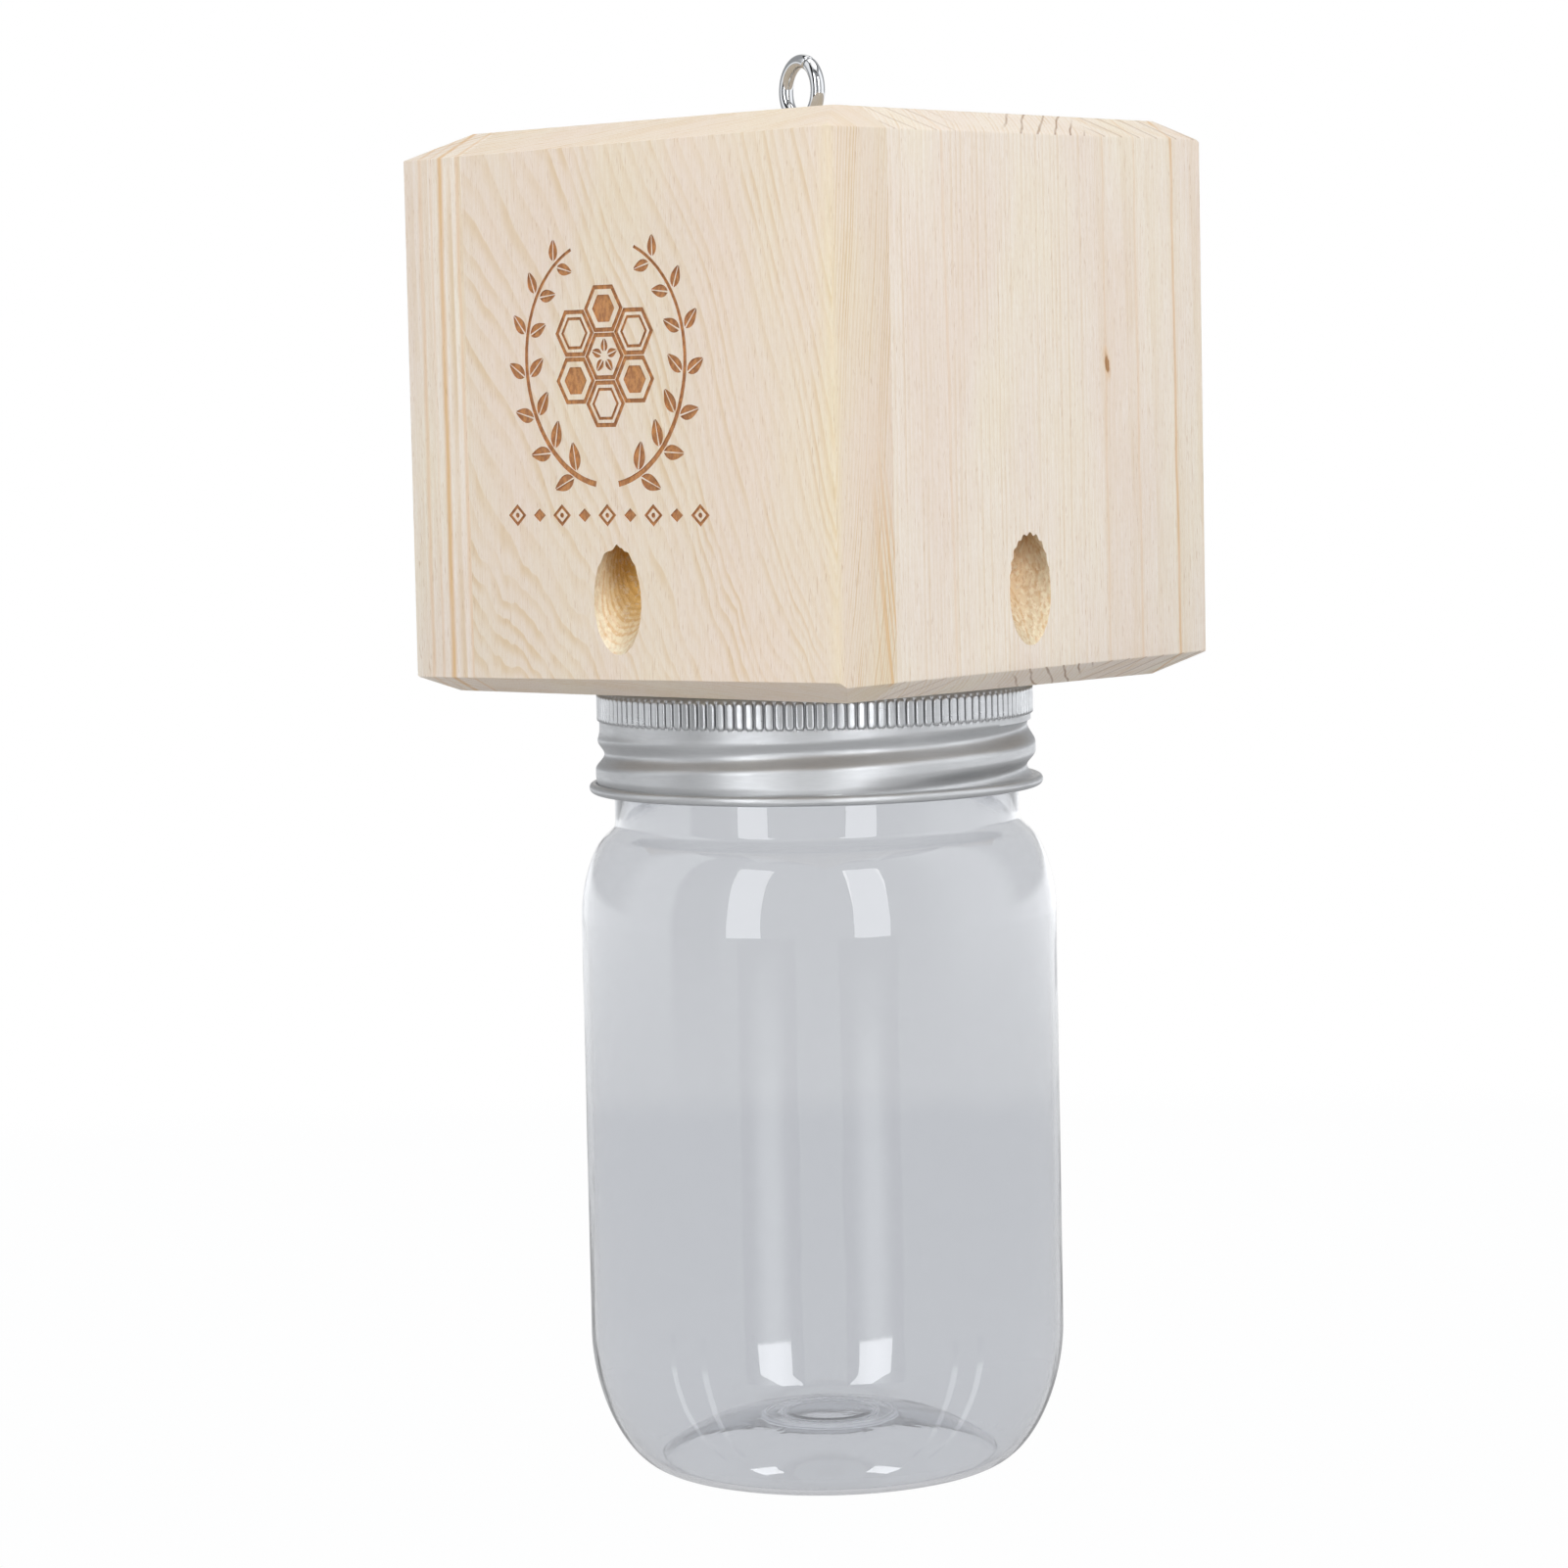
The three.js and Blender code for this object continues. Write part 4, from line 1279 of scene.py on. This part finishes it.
def jar_outline(shoulder_top):
    """The outside of the jar, from the middle of its base up to its neck."""
    bottom = jar_low.z
    gate = bottom + base_dome_height
    foot = jar_radius - base_corner_width
    corner_top = bottom + base_corner_height
    shoulder_bottom = shoulder_top - shoulder_height
    ring_start = gate_ring_radius - gate_ring_half
    steps = [n / gate_steps for n in range(gate_steps + 1)]
    outline = [(ring_start * share, gate) for share in steps]
    outline += [(ring_start + 2 * gate_ring_half * share,
                 gate - gate_ring_height * math.sin(math.pi * share) ** 2) for share in steps]
    outline += [(gate_radius - gate_step * inset, gate - gate_step * drop)
                for inset, drop in gate_rim_shares]
    for n in range(dome_steps):
        share = n / dome_steps
        drop = (base_dome_height - gate_step) * (1 - share ** dome_fullness)
        outline.append((foot - (foot - gate_radius) * (1 - share), bottom + drop))
    outline += [(foot + base_corner_width * width, bottom + base_corner_height * height)
                for width, height in corner(base_corner_steps)]
    outline += [(jar_radius, corner_top + (shoulder_bottom - corner_top) * n / body_rows)
                for n in range(1, body_rows)]
    outline += [(jar_radius - (jar_radius - neck_bead_radius) * height,
                 shoulder_bottom + shoulder_height * width)
                for width, height in corner(shoulder_corner_steps)]
    # A small fillet where the shoulder runs into the neck
    outline = [(radius, z) for radius, z in outline
               if z < shoulder_bottom or radius > neck_bead_radius + neck_fillet]
    start = Vector(outline[-1])
    slope = start - Vector(outline[-2])
    middle = start + slope * (start.x - neck_bead_radius) / -slope.x
    end = Vector((neck_bead_radius, middle.y + neck_fillet * neck_fillet_rise_share))
    return outline + bend(start, middle, end, neck_fillet_steps)[1:]


def build_jar():
    lip = jar_high.z
    shoulder_top = lip - neck_height
    bead_top = shoulder_top + neck_bead_height
    thread_bottom = bead_top + neck_bead_step
    thread_top = lip - 2 * lip_round
    outer = jar_outline(shoulder_top)
    inner = offset_profile(outer, jar_wall)
    neck_inner = neck_bead_radius - jar_wall
    lip_inner = neck_root_radius - 2 * jar_wall
    angles = 2 * np.pi * np.arange(jar_columns) / jar_columns
    rows = []

    def plain(radius, z):
        rows.append((np.full(jar_columns, radius), z))

    for radius, z in outer[1:]:
        plain(radius, z)
    plain(neck_bead_radius, bead_top - neck_bead_edge[0])
    plain(neck_bead_radius - neck_bead_edge[1], bead_top)
    for n in range(thread_rows + 1):
        z = thread_bottom + (thread_top - thread_bottom) * n / thread_rows

        def ridge(here):
            away = np.abs(z - groove_height(here) - thread_pitch / 2)
            return smooth_step(away, thread_base_width / 2, thread_base_width / 2 * thread_crest_share)

        height = np.minimum(1, thread_sum(angles, jar_thread_run, ridge))
        rows.append((neck_root_radius + (thread_crest_radius - neck_root_radius) * height, z))
    for sine, cosine in quarter_turn(lip_steps):
        plain(neck_root_radius - lip_round * (1 - cosine), lip - lip_round * (1 - sine))
    for sine, cosine in quarter_turn(lip_inner_steps):
        plain(lip_inner + lip_inner_round * (1 - sine), lip - lip_inner_round * (1 - cosine))
    step_height = lip - bead_top - inner_step_top - inner_step_bottom
    for n in range(inner_step_rows + 1):
        thick = 1 - float(smooth_step(n, 1, inner_step_rows - 1))
        z = lip - inner_step_top - step_height * n / inner_step_rows
        plain(neck_inner - (neck_inner - lip_inner) * thick, z)
    for n in range(neck_inner_rows):
        plain(neck_inner, bead_top + neck_inner_rise - (bead_top - shoulder_top) * n / neck_inner_rows)
    for radius, z in reversed(inner[1:]):
        plain(radius, z)
    jar = capped("jar_clear", (0, 0, outer[0][1]), ring_points(rows, angles), (0, 0, inner[0][1]),
                 jar_columns, clear_plastic(), jar_smooth)
    dress(jar, "jar", "jar")


def softbox(name, azimuth, elevation, distance, width, height, power):
    """A softbox at an angle from the camera's, facing the trap."""
    data = bpy.data.lights.new(name, "AREA")
    data.shape = "RECTANGLE"
    data.size = width
    data.size_y = height
    data.energy = power
    lamp = link(name, data)
    away = direction(camera_azimuth + azimuth, elevation)
    lamp.location = camera_target + away * distance
    lamp.visible_transmission = False
    lamp.rotation_euler = away.to_track_quat("Z", "Y").to_euler()


def wall_glow(s, turn, rise, middle):
    """Brighter toward the sides and above, with one narrow dark gap to the left."""
    away = abs(turn)
    side = s.spread(away, 38, 84, 0.38, 1.35) * s.spread(turn, 30, 70, 1, 1.25)
    behind = s.spread(away, 96, 118) * s.spread(rise, -1, 3)
    side = side * (behind * -0.66 + 1)
    above = s.spread(rise, 45, 74, 0, 0.6)
    left_gap = s.spread(abs(turn + 62), 10, 16, 0.03, 1)
    high_gap = s.spread(abs(rise - 57), 4, 6, 0.03, 1)
    glow = (side + above) * high_gap * left_gap
    # It fades into the floor's tone
    return (glow - floor_tone) * s.spread(rise, -11, -5) + floor_tone


def low_glow(s, turn, rise, middle):
    """A bright lower part, and a glow above it that fades out upward and to the sides."""
    streak = s.spread(rise, -5.8, -13, 0, 2) * s.spread(abs(turn - middle), 1, 11, 1, 0)
    lean = s.spread(rise, -25, -15.5, 0.68, 1)
    edge = abs(turn - lean * middle) / lean
    return streak + s.spread(rise, -15.5, -15.8, 0, 6.5) * s.spread(edge, 7.9, 8.1, 1, 0)


def strip_glow(s, turn, rise, middle):
    """A narrow strip whose light fades toward its lower end."""
    return s.spread(rise, -64, -44, 0, 2.4) * s.spread(rise, -24, -31)


def glossy_panel(name, middle, half, rises, distance, glow):
    """Part of a sphere round the trap that glows; only shiny surfaces see it. Its glow is a strength, or a
    function that makes one from the nodes, the turn, the rise and the middle of the panel."""
    s = new_material(name)
    place = s.add("VectorMath", {0: s.place(), 1: camera_target / mm}, operation="SUBTRACT")
    side = s.along(place, direction(camera_azimuth + 90, 0))
    front = s.along(place, direction(camera_azimuth, 0))
    up = s.along(place, upright)
    turn = s.math("ARCTAN2", side, front) * math.degrees(1)
    rise = s.math("ARCTAN2", up, s.math("SQRT", side * side + front * front)) * math.degrees(1)
    strength = glow(s, turn, rise, middle) if callable(glow) else glow
    material = s.finish(s.add("Emission", {"Color": (0.95, 0.97, 1, 1), "Strength": strength}))
    low, high = rises
    vertices = []
    for row in range(panel_rows + 1):
        elevation = low + (high - low) * row / panel_rows
        for column in range(panel_columns + 1):
            azimuth = camera_azimuth + middle - half + 2 * half * column / panel_columns
            vertices.append(camera_target + direction(azimuth, elevation) * distance)
    across = panel_columns + 1
    starts = [row * across + column for row in range(panel_rows) for column in range(panel_columns)]
    panel = make(name, vertices, [(a, a + 1, a + across + 1, a + across) for a in starts], material)
    for kind in ("camera", "diffuse", "transmission", "volume_scatter", "shadow"):
        setattr(panel, "visible_" + kind, False)


def build_world():
    """White to the camera and to shiny and clear surfaces; its light is weaker from below."""
    s = Graph(bpy.data.worlds.new("studio"), "World")
    rise = s.along(s.add("TexCoord", {}, "Generated"), upright)
    strength = s.spread(rise, *ambient_rise, *ambient_strengths, "LINEAR")
    ambient = s.add("Background", {"Color": (1, 0.99, 0.975, 1), "Strength": strength})
    backdrop = s.add("Background", {"Color": white, "Strength": 1})
    _, _, seen = s.rays()
    bpy.context.scene.world = s.finish(s.add("MixShader", {0: seen, 1: ambient, 2: backdrop}))


def build_floor():
    """Pale, paler still beyond its edge, and it keeps the trap's shadow."""
    s = new_material("floor_paper")
    place = s.place()
    radius = s.from_axis(place)
    edge = s.spread(radius, (floor_radius - floor_edge) / mm, (floor_radius + floor_edge) / mm)
    grit = s.noise(place, (0.06, 0.06, 0.06), 3)
    diffuse = s.add("BsdfDiffuse", {"Color": s.tint(*floor_tones, grit, 0.3, 0.7)})
    camera, through, seen = s.rays()
    near = s.mix(through, (0.55, 0.555, 0.565, 1), (0.92, 0.925, 0.935, 1))
    near = s.mix(camera, near, (0.99, 0.991, 0.993, 1))
    glow = s.add("Emission", {"Color": s.mix(edge, near, white), "Strength": 1.0})
    inner, outer = (size / mm for size in floor_shade_radii)
    share = seen * s.spread(radius, inner, outer, 0.6, 1)
    material = s.finish(s.add("MixShader", {0: share, 1: diffuse, 2: glow}))
    outline = [(x, y, floor_height) for x, y in regular((0, 0), floor_radius + floor_edge, floor_sides)]
    make("floor", outline, [tuple(range(floor_sides))], material)


def build_stage():
    bpy.context.scene.view_settings.view_transform = "Standard"
    build_world()
    build_floor()

    # The dim side of the studio behind the camera, and cards and strips of light
    glossy_panel("studio_wall", 0, wall_half, wall_rise, wall_distance, wall_glow)
    key_half = math.degrees(key_width / key_distance) / 2
    for kind, azimuths, half, rises, distance, glow in (
            ("key_card", key_azimuths, key_half, key_rise, card_distance, key_glow),
            ("low_card", low_azimuths, low_half, low_rise, card_distance, low_glow),
            ("strip", strip_azimuths, strip_half, strip_rise, strip_distance, strip_glow),
            ("spot", spot_azimuths, spot_half, spot_rise, strip_distance, spot_glow)):
        for azimuth in azimuths:
            name = f"{kind}_{azimuth:.0f}".replace("-", "left_")
            glossy_panel(name, azimuth, half, rises, distance, glow)

    low, high = key_rise
    height = 2 * key_distance * math.tan(math.radians(high - low) / 2)
    for name, azimuth, power in zip(("key_left", "key_right"), key_azimuths, key_powers):
        softbox(name, azimuth, (low + high) / 2, key_distance, key_width, height, power)
    softbox("overhead", 0, overhead_rise, overhead_size, overhead_size, overhead_size, overhead_power)


place_camera()
build_block()
build_eye()
build_lid()
build_band()
build_jar()
build_stage()
